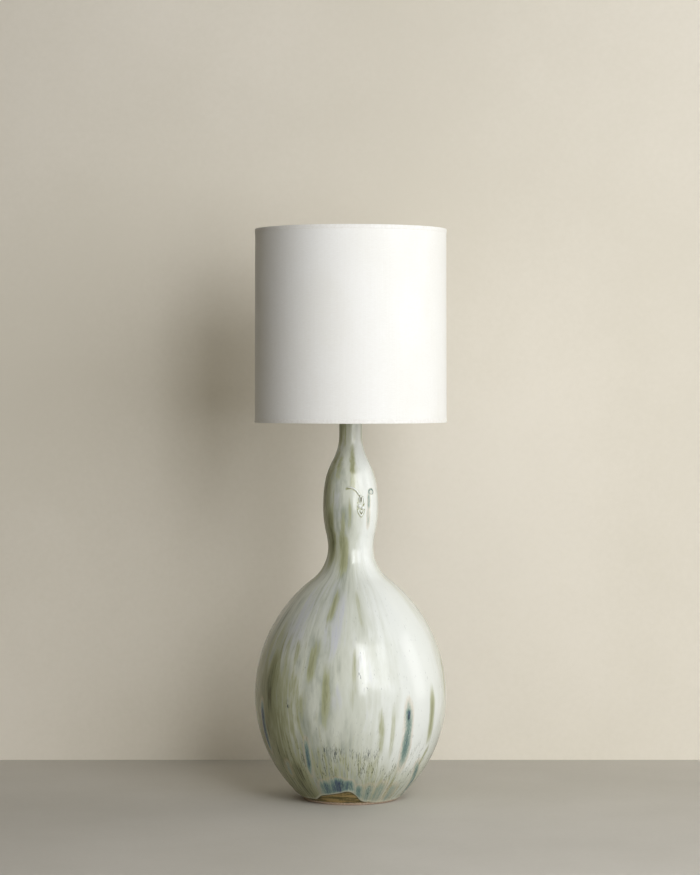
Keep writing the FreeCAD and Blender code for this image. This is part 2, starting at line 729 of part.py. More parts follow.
def build_terminal_screws():
    """Two binding screws, one on each side of the block."""
    screws = doc.addObject("Part::Compound", "terminal_screws")
    screws.Label = "terminal_screws"
    links = []
    level = value(f"{SHELL_FOOT} + key_height")
    for side, name in ((-1, "left"), (1, "right")):
        turn = Rotation(Vector(0, 0, 1), Vector(side, 0, 0))
        face = Vector(side * value("block_radius"), 0, level)
        root = Vector(side * value("block_radius - terminal_length"), 0, level)
        head = cylinder(name + "_head", "terminal_radius", "terminal_head", Placement(face, turn))
        shank = cylinder(name + "_shank", "terminal_shank", "terminal_length", Placement(root, turn))
        screw = doc.addObject("Part::Fuse", name + "_screw")
        screw.Base = head
        screw.Tool = shank
        links.append(screw)
    screws.Links = links
    return screws


def build_switch_key():
    """A fluted knob on its shaft, drawn upright and then laid to the front."""
    body = new_body("switch_key")
    knob = "(socket_radius + key_standoff - key_root)"
    face = f"({knob} + key_length)"
    revolve(body, "Turning", Outline(body, "Profile", [
        ("0", "0"), ("key_shaft", "0"), ("key_shaft", knob), ("key_radius", knob),
        ("key_face", f"{face} - key_flute"), ("key_face - key_flute", face), ("0", face)]))
    flute = body.newObject("PartDesign::SubtractiveCylinder", "Flute")
    flute.setExpression("Radius", bound("key_flute"))
    flute.setExpression("Height", bound("2 * key_length"))
    flute.Placement = Placement(Vector(value("key_flute_line"), 0, value(f"{knob} - fit_gap")), Rotation())
    pattern = body.newObject("PartDesign::PolarPattern", "Flutes")
    pattern.Originals = [flute]
    pattern.Axis = (origin_feature(body, "Z_Axis"), [""])
    pattern.Angle = 360
    pattern.setExpression("Occurrences", bound("key_flutes"))
    body.Tip = pattern
    root = Vector(0, -value("key_root"), value(f"{SHELL_FOOT} + key_height"))
    body.Placement = Placement(root, Rotation(Vector(0, 0, 1), Vector(0, -1, 0)))
    return body


def build_bulb():
    glass = new_body("bulb_glass")
    top = f"({GLASS_FOOT} + glass_height)"
    shoulder = f"({GLASS_FOOT} + glass_neck_height)"
    neck, ball = value("glass_neck"), value("glass_radius")
    centre = Vector(0, value(f"{top} - glass_radius"), 0)
    rise = centre.y - value(shoulder)
    sweep = (neck ** 2 + rise ** 2 - ball ** 2) / (2 * (ball - neck))
    sweep_centre = Vector(neck + sweep, value(shoulder), 0)
    towards = (sweep_centre - centre).normalize()
    wall = value("glass_wall")
    profile = Outline(glass, "Profile", [
        ("glass_neck", GLASS_FOOT), ("glass_neck", shoulder), centre + towards * ball, ("0", top),
        ("0", f"{top} - glass_wall"), centre + towards * (ball - wall),
        ("glass_neck - glass_wall", shoulder), ("glass_neck - glass_wall", GLASS_FOOT)],
        {1: (sweep, -1), 2: ("glass_radius", 1), 4: ("glass_radius - glass_wall", -1), 5: (sweep + wall, 1)},
        smooth=(2, 5))
    profile.level(1, 1)
    profile.level(5, 6)
    for arc in (2, 4):
        profile.fix("PointOnObject", profile.edges[arc][0], 3, -2)
    revolve(glass, "Envelope", profile)
    base_top = f"{BASE_FOOT} + base_height"
    inner = "(base_radius - base_sheet)"
    base = turned("bulb_base", [
        ("2 * tip_radius", BASE_FOOT), ("base_radius - base_shoulder", BASE_FOOT),
        ("base_radius", f"{BASE_FOOT} + base_shoulder"), ("base_radius", base_top), (inner, base_top),
        (inner, f"{BASE_FOOT} + base_shoulder + base_sheet"),
        (f"{inner} - base_shoulder", f"{BASE_FOOT} + base_sheet"),
        ("2 * tip_radius", f"{BASE_FOOT} + base_sheet")])
    insulator = turned("bulb_insulator", [
        ("0", f"{BULB_TIP} + tip_height"), ("tip_radius", f"{BULB_TIP} + tip_height"),
        ("base_radius - base_shoulder", BASE_FOOT), ("0", BASE_FOOT)])
    contact = turned("bulb_contact", [
        ("0", BULB_TIP), ("tip_radius", f"{BULB_TIP} + tip_height"), ("0", f"{BULB_TIP} + tip_height")],
        {0: ("(tip_radius ^ 2 + tip_height ^ 2) / (2 * tip_height)", 1)})
    flare = "(glass_neck - glass_wall - fit_gap)"
    pinch, tip = f"{GLASS_FOOT} + stem_height / 3", f"{GLASS_FOOT} + stem_height"
    stem = turned("bulb_stem", [
        ("0", GLASS_FOOT), (flare, GLASS_FOOT), (flare, f"{GLASS_FOOT} + glass_wall"),
        ("stem_radius", pinch), ("stem_radius / 2", tip), ("0", tip)],
        {2: ("stem_height / 2", -1)})
    return [glass, base, insulator, contact, stem]


def drum(level, inset="0"):
    """The radius of the shade's outer face at one level, less an inset."""
    return f"(shade_radius + shade_flare * ({SHADE_TOP} - {level}) / shade_height - ({inset}))"


def rim_wire(body, name, level):
    """A wire ring just inside the shade's skin."""
    across = drum(level, "shade_sheet + trim_gap + shade_wire")
    hoop = body.newObject("PartDesign::Revolution", name)
    section = circle_sketch(body, name + "Section", "XZ_Plane", across, level, "shade_wire")
    hoop.Profile = section
    hoop.ReferenceAxis = (section, ["V_Axis"])
    return across


def build_shade():
    foot, head = f"({SHADE_BOTTOM} + {TRIM_LAP})", f"({SHADE_TOP} - {TRIM_LAP})"
    skin = turned("shade_skin", [
        (drum(foot, "shade_sheet"), foot), (drum(foot), foot), (drum(head), head),
        (drum(head, "shade_sheet"), head)])
    wire = new_body("shade_bottom_ring")
    rim_wire(wire, "Hoop", BOTTOM_RING)
    return [
        skin, wire, build_shade_spider(),
        build_trim("shade_trim_bottom", SHADE_BOTTOM, BOTTOM_RING, "+"),
        build_trim("shade_trim_top", SHADE_TOP, TOP_RING, "-"),
    ]


def build_trim(label, rim, wire, inward):
    """Tape folded over the edge of the skin and its wire."""
    edge = f"({rim} {inward} trim_height)"
    fold = f"({rim} {inward} trim_sheet)"
    inside = drum(wire, "shade_sheet + 2 * (trim_gap + shade_wire)")
    return turned(label, [
        (f"{drum(rim)} + {TRIM_LAP}", rim), (f"{drum(edge)} + {TRIM_LAP}", edge),
        (f"{drum(edge)} + trim_gap", edge), (f"{drum(fold)} + trim_gap", fold),
        (inside, fold), (inside, f"{fold} {inward} trim_lip"),
        (f"{inside} - trim_sheet", f"{fold} {inward} trim_lip"), (f"{inside} - trim_sheet", rim)])


def build_shade_spider():
    """The top wire ring, its three arms and the hub washer, welded together."""
    body = new_body("shade_spider")
    weld = f"({TOP_RING} - arm_drop)"
    hub = f"({HUB} + hub_washer_thickness / 2)"
    start, end = "hub_washer_radius - shade_wire", rim_wire(body, "TopRing", TOP_RING)
    low, high = "(hub_washer_radius + arm_flat)", f"({end} - arm_flat)"
    slope = math.atan2(value(weld) - value(hub), value(high) - value(low))
    setback = value("arm_bend") * math.tan(slope / 2)
    along = Vector(math.cos(slope), math.sin(slope), 0) * setback
    foot, knee = Vector(value(low), value(hub), 0), Vector(value(high), value(weld), 0)
    path = Outline(body, "ArmPath", [
        (start, hub), foot - Vector(setback, 0, 0), foot + along, knee - along,
        knee + Vector(setback, 0, 0), (end, weld)],
        {1: ("arm_bend", 1), 3: ("arm_bend", -1)}, smooth=(1, 2, 3, 4), closed=False)
    for straight in (0, 4):
        path.fix("Horizontal", path.edges[straight][0])
    path.bind("DistanceX", (-1, 1, *path.vertex(1)), f"{low} - {setback}")
    path.bind("DistanceX", (-1, 1, *path.vertex(4)), f"{high} + {setback}")
    arm_section = circle_sketch(body, "ArmSection", "YZ_Plane", "0", hub, "shade_wire", start)
    arm = pipe(body, "Arm", arm_section, path.sketch)
    arms = body.newObject("PartDesign::PolarPattern", "Arms")
    arms.Originals = [arm]
    arms.Axis = (origin_feature(body, "Z_Axis"), [""])
    arms.Angle = 360
    arms.setExpression("Occurrences", bound("arm_count"))
    body.Tip = arms
    bore = "stud_radius + hub_hole_clearance"
    revolve(body, "Hub", Outline(body, "HubProfile", [
        (bore, HUB), ("hub_washer_radius", HUB), ("hub_washer_radius", f"{HUB} + hub_washer_thickness"),
        (bore, f"{HUB} + hub_washer_thickness")]))
    body.Placement = Placement(Vector(), Rotation(Vector(0, 0, 1), 90))
    return body


nodes = [build_gourd_body(), build_cord_grommet()]
nodes += build_foot_hardware()
nodes += build_neck_closure()
nodes += [build_harp_saddle(), hex_nut("saddle_nut", SADDLE_NUT)]
nodes += [build_harp(), build_sleeve("harp_sleeve_left", -1), build_sleeve("harp_sleeve_right", 1)]
nodes += [build_harp_stud(), build_finial()]
nodes += build_socket() + [build_switch_key()]
nodes += build_bulb()
nodes += build_shade()
doc.recompute()

for item in doc.Objects:
    if "Invalid" in item.State or "Error" in item.State:
        owner = [parent.Label for parent in item.InList]
        raise RuntimeError("%s of %s failed: %s" % (item.Label, owner, item.State))
for node in nodes:
    if node.Shape.isNull() or not node.Shape.isValid() or not node.Shape.Solids:
        raise RuntimeError("%s has no valid solid" % node.Label)

os.makedirs("parts", exist_ok=True)
for node in nodes:
    node.Shape.exportStep("parts/%s.step" % node.Label)
    print("%-20s %d solid %9.0f mm3" % (node.Label, len(node.Shape.Solids), node.Shape.Volume))
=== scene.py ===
import json
import math

import bmesh
import bpy
import numpy as np
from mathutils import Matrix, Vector


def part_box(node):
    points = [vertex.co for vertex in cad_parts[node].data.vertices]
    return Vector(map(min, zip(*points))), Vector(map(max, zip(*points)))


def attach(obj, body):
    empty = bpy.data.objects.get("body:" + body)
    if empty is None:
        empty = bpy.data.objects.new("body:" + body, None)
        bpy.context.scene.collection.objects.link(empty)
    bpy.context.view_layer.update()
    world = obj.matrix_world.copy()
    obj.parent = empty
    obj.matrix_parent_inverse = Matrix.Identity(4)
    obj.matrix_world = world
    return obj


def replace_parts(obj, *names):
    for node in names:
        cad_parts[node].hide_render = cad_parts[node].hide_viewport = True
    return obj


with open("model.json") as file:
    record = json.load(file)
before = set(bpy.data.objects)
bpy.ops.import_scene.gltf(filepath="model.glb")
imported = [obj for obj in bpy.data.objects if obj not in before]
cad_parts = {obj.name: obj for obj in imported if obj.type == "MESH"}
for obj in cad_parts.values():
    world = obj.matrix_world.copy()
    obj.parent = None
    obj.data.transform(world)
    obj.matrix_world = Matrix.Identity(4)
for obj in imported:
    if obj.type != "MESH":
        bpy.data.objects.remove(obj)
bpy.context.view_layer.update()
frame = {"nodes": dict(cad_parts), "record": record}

MM = 0.001
nodes = frame["nodes"]


# ---------------------------------------------------------------- finishes

class Value:
    """A number or colour in a finish; arithmetic on numbers adds Math nodes."""

    def __init__(self, finish, socket):
        self.finish, self.socket = finish, socket

    def math(self, operation, *terms):
        return self.finish.node("Math", {"operation": operation}, dict(enumerate(terms)))

    def __add__(self, other):
        return self.math("ADD", self, other)

    def __mul__(self, other):
        return self.math("MULTIPLY", self, other)

    def __sub__(self, other):
        return self.math("SUBTRACT", self, other)

    def __rsub__(self, other):
        return self.math("SUBTRACT", other, self)

    __radd__, __rmul__ = __add__, __mul__

    def size(self):
        return self.math("ABSOLUTE", self)

    def most(self, other):
        return self.math("MAXIMUM", self, other)

    def wave(self, pitch):
        """A sine with this pitch, from -1 to 1."""
        return self.math("SINE", self * (2 * math.pi / pitch))

    def ease(self, low, high, start=0.0, end=1.0):
        """Rises smoothly from start to end as the value goes from low to high."""
        return self.finish.node("MapRange", {"interpolation_type": "SMOOTHSTEP"}, {
            "Value": self, "From Min": low, "From Max": high, "To Min": start, "To Max": end})


def tint(red, green, blue):
    """A colour as a screen shows it, 0 to 255, made linear."""
    return tuple(((part / 255 + 0.055) / 1.055) ** 2.4 for part in (red, green, blue))


class Nodes:
    """The nodes of a material or of the world; one method makes any of them."""

    def __init__(self, owner):
        owner.use_nodes = True
        self.tree = owner.node_tree
        self.tree.nodes.clear()

    def node(self, kind, settings=None, inputs=None, out=0):
        """Adds a node: its settings first, then the values or links of its sockets."""
        made = self.tree.nodes.new("ShaderNode" + kind)
        for key, setting in (settings or {}).items():
            setattr(made, key, setting)
        for key, term in (inputs or {}).items():
            socket = made.inputs[key]
            if isinstance(term, Value):
                self.tree.links.new(term.socket, socket)
            else:
                socket.default_value = (*term, 1) if socket.type == "RGBA" and len(term) == 3 else term
        return Value(self, made.outputs[out]) if made.outputs else None


class Finish(Nodes):
    """A material, made of nodes over the piece's own coordinates."""

    SWAY_TURNS, SWAY_ALONG = 3.1, 9.0

    def __init__(self, name):
        self.material = bpy.data.materials.new(name)
        super().__init__(self.material)
        self.place = self.node("TexCoord", out="Object")

    def vector(self, operation, *terms):
        return self.node("VectorMath", {"operation": operation}, dict(enumerate(terms)))

    def axis(self, name):
        return self.node("SeparateXYZ", None, {0: self.place}, name)

    def mix(self, under, over, share):
        return self.node("Mix", {"data_type": "RGBA"}, {0: share, 6: under, 7: over}, 2)

    def shade(self, under, over, share):
        """Multiplies one colour by another where share is high."""
        return self.node("Mix", {"data_type": "RGBA", "blend_type": "MULTIPLY"},
                         {0: share, 6: under, 7: over}, 2)

    def stretched(self, across, along):
        """The piece's coordinates times a count per metre on each axis."""
        return self.vector("MULTIPLY", self.place, (across, across, along))

    def around(self, turns, along, sway=0.0):
        """Coordinates for streaks that run down a turned form: its direction from the axis, and its height.
        Sway makes the streaks wander."""
        flat = self.vector("NORMALIZE", self.vector("MULTIPLY", self.place, (1, 1, 0)))
        height = self.vector("MULTIPLY", self.place, (0, 0, along))
        streak = self.vector("MULTIPLY_ADD", flat, (turns, turns, 0), height)
        if not sway:
            return streak
        climb = self.vector("MULTIPLY", self.place, (0, 0, self.SWAY_ALONG))
        where = self.vector("MULTIPLY_ADD", flat, (self.SWAY_TURNS, self.SWAY_TURNS, 0), climb)
        drift = self.node("TexNoise", None, {"Vector": where, "Scale": 1.0, "Detail": 1.0}, "Color")
        return self.vector("MULTIPLY_ADD", drift, (sway, sway, 0), streak)

    def grain(self, where, detail=2.0, roughness=0.5, distortion=0.0):
        return self.node("TexNoise", None, {
            "Vector": where, "Scale": 1.0, "Detail": detail, "Roughness": roughness,
            "Distortion": distortion})

    def cells(self, where):
        """The distance to the nearest of many scattered points."""
        return self.node("TexVoronoi", None, {"Vector": where, "Scale": 1.0, "Randomness": 1.0}, "Distance")

    def painted(self, name):
        """A field stored on the piece's own mesh."""
        return self.node("Attribute", {"attribute_name": name}, out="Fac")

    def bump(self, height, distance, strength):
        return self.node("Bump", None, {"Height": height, "Distance": distance, "Strength": strength})

    def surface(self, **sockets):
        """Closes the finish with a Principled surface; keys are its socket names with _ for a space."""
        inputs = {key.replace("_", " "): term for key, term in sockets.items()}
        shader = self.node("BsdfPrincipled", None, inputs)
        self.node("OutputMaterial", None, {"Surface": shader})
        return self.material


def glaze_finish(name="glaze"):
    """A runny ivory and celadon glaze: it breaks to olive where thin, turns milky lavender and cobalt where it
    pools, and stops in a lip above the bare foot. Painted shade also darkens it to olive on the side away from
    the lamps, under the sprig and under the lip; the side towards the lamps is painted lighter and creamier, and
    a painted highlight lies pale along the lip."""
    f = Finish(name)
    olive_and_shade_field, cobalt_field, milk_field = f.painted("olive"), f.painted("cobalt"), f.painted("milk")
    fleck_field, calm_lit_side, edge = f.painted("fleck"), f.painted("calm_lit_side"), f.painted("edge")
    height = f.axis("Z")
    on_neck = height.ease(0.322, 0.350)

    def flow(turns, across, along, sway=0.0, detail=2.0, roughness=0.5):
        """Noise in runs down the form, about -1 to 1: by direction on the belly, by place on the neck."""
        fan = f.grain(f.around(turns, along, sway), detail, roughness)
        straight = f.grain(f.stretched(across, along), detail, roughness)
        return (fan + (straight - fan) * on_neck - 0.5) * 4.0

    restless = 1 - calm_lit_side * 0.75
    cloud = flow(2.2, 14.0, 7.0, 0.0, 2.0)
    veil = flow(8.0, 85.0, 13.0, 1.6, 3.0, 0.55) * restless
    patch = flow(14.0, 120.0, 27.0, 2.4, 3.0, 0.6) * restless
    thread = flow(34.0, 250.0, 22.0, 4.0, 3.0, 0.65) * restless
    hair = flow(84.0, 560.0, 34.0, 9.0, 2.0, 0.6)
    blotch = flow(26.0, 170.0, 30.0, 3.0, 4.0, 0.65)
    fine = f.grain(f.around(300.0, 260.0), 1.0) * 4.0 - 2.0
    skirt = 1 - height.ease(0.045, 0.135)
    busy = skirt * 0.6 + (cloud + 0.5).ease(0.0, 1.0) * 0.4

    # The calm field makes the side towards the lamps creamier: partly a calmer glaze, partly a painted lit side.
    body = cloud * 0.45 + veil * 0.4 + patch * 0.4 + thread * 0.3 * busy + calm_lit_side * 1.2 - olive_and_shade_field * 0.7
    colour = f.mix(tint(152, 159, 144), tint(208, 212, 199), body.ease(-0.95, 0.3))
    colour = f.mix(colour, tint(233, 237, 232), body.ease(0.15, 1.2))
    milky = milk_field + veil * 0.35 + patch * 0.35 + thread * 0.35 - calm_lit_side * 0.25
    colour = f.mix(colour, tint(190, 193, 205), milky.ease(0.3, 1.1) * 0.7)
    colour = f.mix(colour, tint(238, 240, 235), (hair * 0.35 + thread * 0.6).ease(0.2, 0.85) * (busy * 0.75))
    grey = patch * 0.5 + blotch * 0.35 * busy - calm_lit_side * 0.6 + olive_and_shade_field * 0.3
    colour = f.mix(colour, tint(138, 150, 138), grey.ease(0.2, 0.9) * 0.55)

    # Thin glaze and the painted shade carried in the olive field both turn the colour olive to dark olive.
    thin = olive_and_shade_field + patch * 0.24 + thread * (skirt * 0.25 + 0.3) + hair * 0.1 * busy
    colour = f.mix(colour, tint(172, 175, 138), thin.ease(0.2, 0.65) * 0.8)
    colour = f.mix(colour, tint(140, 143, 104), thin.ease(0.5, 1.0) * 0.8)
    colour = f.mix(colour, tint(74, 74, 48), thin.ease(0.95, 1.6) * 0.9)

    wire = 1 - flow(36.0, 260.0, 40.0, 7.0, 3.0, 0.6).size().ease(0.0, 0.13)
    broken = (patch * 0.8 + blotch * 0.45 + skirt * 0.35).ease(0.15, 0.6) * skirt
    colour = f.mix(colour, tint(84, 90, 66), wire * broken * 0.9)

    deep = cobalt_field * (blotch * 0.5 + fine * 0.45 + thread * 0.3 + 1.0)
    fringe = deep.ease(0.03, 0.16) * (1 - deep.ease(0.2, 0.45))
    colour = f.mix(colour, tint(205, 188, 158), fringe * 0.4)
    colour = f.mix(colour, tint(152, 167, 154), deep.ease(0.12, 0.4) * 0.85)
    colour = f.mix(colour, tint(114, 140, 132), deep.ease(0.35, 0.7))
    colour = f.mix(colour, tint(80, 98, 114), deep.ease(0.7, 1.05) * 0.9)
    colour = f.mix(colour, tint(58, 64, 98), deep.ease(1.1, 1.45) * 0.9)

    iron = f.grain(f.around(125.0, 100.0, 6.0), 2.0, 0.6)
    flecks = iron.ease(0.55, 0.6) * (fleck_field + blotch * 0.3).ease(0.35, 0.8)
    stray = f.grain(f.around(210.0, 150.0), 0.0).ease(0.8, 0.84)
    colour = f.mix(colour, tint(66, 76, 80), flecks.most(stray * 0.7) * 0.85)

    rim = edge + thread * 0.45 + blotch * 0.35
    glazed = rim.ease(-0.35, 0.35)
    lip = rim.ease(-0.2, 0.8) * (1 - rim.ease(1.2, 3.6))
    # A pale band along the glaze's lip: a thicker bead of glaze, partly a painted highlight.
    colour = f.mix(colour, tint(214, 213, 190), lip * 0.75)
    strata = f.grain(f.around(3.0, 360.0, 0.8), 3.0, 0.6)
    wash = f.mix(tint(168, 144, 92), tint(92, 86, 46), (strata + blotch * 0.06).ease(0.4, 0.62))
    # A dark band just under the glaze's lip: partly a darker wash, partly painted shade under the lip.
    wash = f.mix(wash, tint(54, 52, 36), rim.ease(-2.2, -0.3) * 0.75)
    sand = f.grain(f.stretched(420.0, 420.0), 3.0).ease(0.35, 0.65)
    foot = f.mix(tint(222, 200, 180), tint(190, 168, 146), sand)
    foot = f.shade(foot, tint(205, 190, 170), 1 - f.cells(f.stretched(900.0, 900.0)).ease(0.05, 0.3))
    outside = (edge + 40.0).ease(0.0, 5.0)
    bare = f.mix(foot, wash, (height + blotch * (0.8 * MM)).ease(2.6 * MM, 4.4 * MM) * outside)
    colour = f.mix(bare, colour, glazed)

    pits = f.cells(f.stretched(310.0, 310.0)).ease(0.04, 0.16)
    skin = thread * 0.1 * busy + veil * 0.3 + pits * 0.12 - (flecks + wire * broken * 0.4) * 0.12
    clay_skin = f.grain(f.stretched(1100.0, 1100.0), 4.0, 0.7)
    relief = skin * glazed + clay_skin * (1 - glazed) * 0.5
    gloss = 0.1 + thin.ease(0.3, 0.9) * 0.1 + veil.ease(-1.0, 1.0) * 0.06
    return f.surface(
        Base_Color=colour,
        Roughness=gloss * glazed + (1 - glazed) * 0.72,
        IOR=1.52,
        Normal=f.bump(relief, 0.35 * MM, 0.55))


DRUM = 0.13                 # the shade's radius in metres, so that a turn becomes a length of cloth
THREAD_PITCH, TAPE_PITCH = 0.9 * MM, 0.7 * MM


def linen_finish():
    """Off-white cloth on a stiff liner: a fine plain weave with slubs, seen only up close."""
    f = Finish("shade_linen")
    turn = f.node("Math", {"operation": "ARCTAN2"}, {0: f.axis("X"), 1: f.axis("Y")})
    along, up = turn * DRUM, f.axis("Z")
    weave = along.wave(THREAD_PITCH) * up.wave(THREAD_PITCH)
    weft = f.grain(f.around(26.0, 1500.0), 2.0)
    warp = f.grain(f.around(190.0, 12.0), 2.0)
    slub = weft.ease(0.3, 0.75) * 0.6 + warp.ease(0.3, 0.75) * 0.4
    cloud = f.grain(f.around(2.0, 9.0), 2.0)
    colour = f.mix(tint(242, 242, 238), tint(248, 249, 246), slub)
    colour = f.shade(colour, tint(250, 249, 246), cloud.ease(0.4, 0.7) * 0.5)
    return f.surface(
        Base_Color=colour,
        Roughness=0.82 + weave * 0.05,
        Sheen_Weight=0.12,
        Sheen_Roughness=0.5,
        Normal=f.bump(weave * 0.5 + slub * 0.8, 0.12 * MM, 0.22))


def tape_finish():
    """The ribbed tape of the hems."""
    f = Finish("hem_tape")
    turn = f.node("Math", {"operation": "ARCTAN2"}, {0: f.axis("X"), 1: f.axis("Y")})
    rib = (turn * DRUM).wave(TAPE_PITCH) * 0.5 + f.axis("Z").wave(TAPE_PITCH) * 0.5
    mottle = f.grain(f.around(40.0, 300.0), 3.0)
    colour = f.mix(tint(240, 239, 234), tint(247, 247, 243), mottle.ease(0.3, 0.7))
    return f.surface(Base_Color=colour, Roughness=0.8 + mottle * 0.1, Sheen_Weight=0.1,
                     Normal=f.bump(rib + mottle, 0.12 * MM, 0.25))


def liner_finish():
    """The smooth stiff sheet inside the shade."""
    f = Finish("shade_liner")
    haze = f.grain(f.stretched(60.0, 60.0), 3.0)
    fine = f.grain(f.stretched(900.0, 900.0), 2.0)
    return f.surface(Base_Color=f.mix(tint(238, 236, 228), tint(246, 244, 238), haze),
                     Roughness=0.42 + haze * 0.12, Normal=f.bump(fine, 0.05 * MM, 0.4))


def metal_finish(name, dark, light, roughness, wear):
    """A turned or drawn metal with faint lathe lines, handling marks and a dulled skin."""
    f = Finish(name)
    lines = f.grain(f.around(3.0, 5200.0), 2.0)
    marks = f.grain(f.stretched(260.0, 260.0), 4.0, 0.65)
    dull = f.grain(f.stretched(48.0, 60.0), 3.0, 0.6)
    colour = f.mix(dark, light, (dull * 0.6 + marks * 0.4).ease(0.3, 0.62))
    return f.surface(
        Base_Color=colour, Metallic=1.0,
        Roughness=roughness + marks.ease(0.35, 0.7) * wear + dull * wear * 0.6,
        Normal=f.bump(lines + marks * 0.4, 0.04 * MM, 0.35))


def moulded_finish(name, dark, light, roughness, grit=700.0):
    """Moulded rubber or plastic, or paint: one even colour with a fine skin."""
    f = Finish(name)
    skin = f.grain(f.stretched(grit, grit), 3.0, 0.6)
    haze = f.grain(f.stretched(70.0, 70.0), 3.0)
    return f.surface(Base_Color=f.mix(dark, light, (haze * 0.7 + skin * 0.3).ease(0.35, 0.65)),
                     Roughness=roughness + haze * 0.15, Normal=f.bump(skin, 0.08 * MM, 0.4))


def felt_finish():
    f = Finish("felt_pad")
    fibre = f.grain(f.stretched(1300.0, 1300.0), 5.0, 0.75, 1.5)
    tuft = f.grain(f.stretched(240.0, 240.0), 3.0)
    colour = f.mix(tint(86, 80, 72), tint(128, 120, 108), (fibre * 0.7 + tuft * 0.3).ease(0.35, 0.65))
    return f.surface(Base_Color=colour, Roughness=0.9 + tuft * 0.08, Sheen_Weight=0.3,
                     Normal=f.bump(fibre, 0.3 * MM, 0.8))


def card_finish():
    f = Finish("card_liner")
    fibre = f.grain(f.stretched(700.0, 250.0), 4.0, 0.7)
    return f.surface(Base_Color=f.mix(tint(176, 152, 118), tint(206, 184, 150), fibre.ease(0.3, 0.7)),
                     Roughness=0.8 + fibre * 0.1, Normal=f.bump(fibre, 0.08 * MM, 0.5))


def frosted_finish():
    f = Finish("frosted_glass")
    frost = f.grain(f.stretched(1400.0, 1400.0), 2.0)
    haze = f.grain(f.stretched(45.0, 45.0), 2.0)
    return f.surface(Base_Color=f.mix(tint(236, 236, 230), tint(246, 246, 242), haze),
                     Roughness=0.3 + haze * 0.12, Transmission_Weight=0.35, IOR=1.5,
                     Normal=f.bump(frost, 0.03 * MM, 0.4))


def clear_glass_finish():
    f = Finish("stem_glass")
    cord_lines = f.grain(f.stretched(120.0, 30.0), 2.0)
    return f.surface(Base_Color=f.mix(tint(222, 230, 226), tint(238, 242, 240), cord_lines),
                     Roughness=0.05 + cord_lines * 0.05, Transmission_Weight=0.85, IOR=1.5,
                     Normal=f.bump(cord_lines, 0.1 * MM, 0.3))


finishes = {
    "glaze": glaze_finish(),
    "rubber": moulded_finish("rubber", tint(38, 37, 36), tint(56, 54, 52), 0.55),
    "felt": felt_finish(),
    "zinc": metal_finish("zinc_plate", tint(150, 152, 156), tint(196, 197, 198), 0.28, 0.25),
    "brass": metal_finish("satin_brass", tint(168, 140, 90), tint(208, 182, 132), 0.22, 0.2),
    "nickel": metal_finish("nickel_plate", tint(186, 180, 168), tint(214, 209, 199), 0.16, 0.16),
    "cardboard": card_finish(),
    "phenolic": moulded_finish("phenolic", tint(36, 28, 26), tint(58, 46, 42), 0.4),
    "key_plastic": moulded_finish("black_key", tint(24, 22, 22), tint(38, 35, 34), 0.22, 400.0),
    "screw_metal": metal_finish("drawn_aluminium", tint(190, 190, 188), tint(222, 222, 219), 0.2, 0.2),
    "contact_bronze": metal_finish("spring_bronze", tint(170, 118, 66), tint(206, 158, 100), 0.25, 0.2),
    "frosted_glass": frosted_finish(),
    "stem_glass": clear_glass_finish(),
    "black_glass": moulded_finish("black_vitrite", tint(18, 18, 20), tint(34, 34, 36), 0.12, 300.0),
    "shade_cloth": linen_finish(),
    "shade_tape": tape_finish(),
    "wire_paint": moulded_finish("white_enamel", tint(222, 221, 214), tint(238, 237, 231), 0.3, 350.0),
    "liner": liner_finish(),
}


# ---------------------------------------------------------------- meshes

def grid_piece(name, rings, finish, body):
    """A mesh from rings of points in mm; each ring is closed on itself, and the last joins the first."""
    rings = np.asarray(rings, float)
    count, around = rings.shape[:2]
    first, column = np.arange(count)[:, None], np.arange(around)[None, :]
    following, beside = (first + 1) % count, (column + 1) % around
    faces = np.stack([first * around + column, first * around + beside,
                      following * around + beside, following * around + column], -1)
    mesh = bpy.data.meshes.new(name)
    mesh.from_pydata((rings.reshape(-1, 3) * MM).tolist(), [], faces.reshape(-1, 4).tolist())
    return dress(name, mesh, finish, body)


def dress(name, mesh, finish, body):
    """Makes the mesh a shown piece that faces outward, with its finish and body."""
    made = bmesh.new()
    made.from_mesh(mesh)
    bmesh.ops.recalc_face_normals(made, faces=made.faces)
    made.to_mesh(mesh)
    made.free()
    mesh.shade_smooth()
    piece = bpy.data.objects.new(name, mesh)
    bpy.context.scene.collection.objects.link(piece)
    mesh.materials.append(finish)
    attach(piece, body)
    return piece


def store(piece, name, field):
    """Keeps one number per vertex on the piece, for its finish."""
    attribute = piece.data.attributes.new(name, "FLOAT", "POINT")
    attribute.data.foreach_set("value", np.asarray(field, np.float32).ravel())


def smooth(low, high, value):
    """Rises smoothly from 0 to 1 as the value goes from low to high."""
    share = np.clip((value - low) / (high - low), 0, 1)
    return share * share * (3 - 2 * share)


RIPPLE_SPAN, RIPPLE_START = 1200, 100


def ripple(seed, turn, height, steps_around, step_up):
    """Smooth random relief, -1 to 1, that closes on itself round the axis."""
    draw = np.random.default_rng(seed)
    rows = int(RIPPLE_SPAN / step_up) + 3
    table = draw.uniform(-1, 1, (rows, steps_around))
    across = (turn / (2 * math.pi) % 1) * steps_around
    up = np.clip((height + RIPPLE_START) / step_up, 0, rows - 2)
    column, row = np.floor(across).astype(int), np.floor(up).astype(int)
    a, b = across - column, up - row
    a, b = a * a * (3 - 2 * a), b * b * (3 - 2 * b)
    column, beside = column % steps_around, (column + 1) % steps_around
    low = table[row, column] * (1 - a) + table[row, beside] * a
    high = table[row + 1, column] * (1 - a) + table[row + 1, beside] * a
    return low * (1 - b) + high * b


# ---------------------------------------------------------------- the gourd body

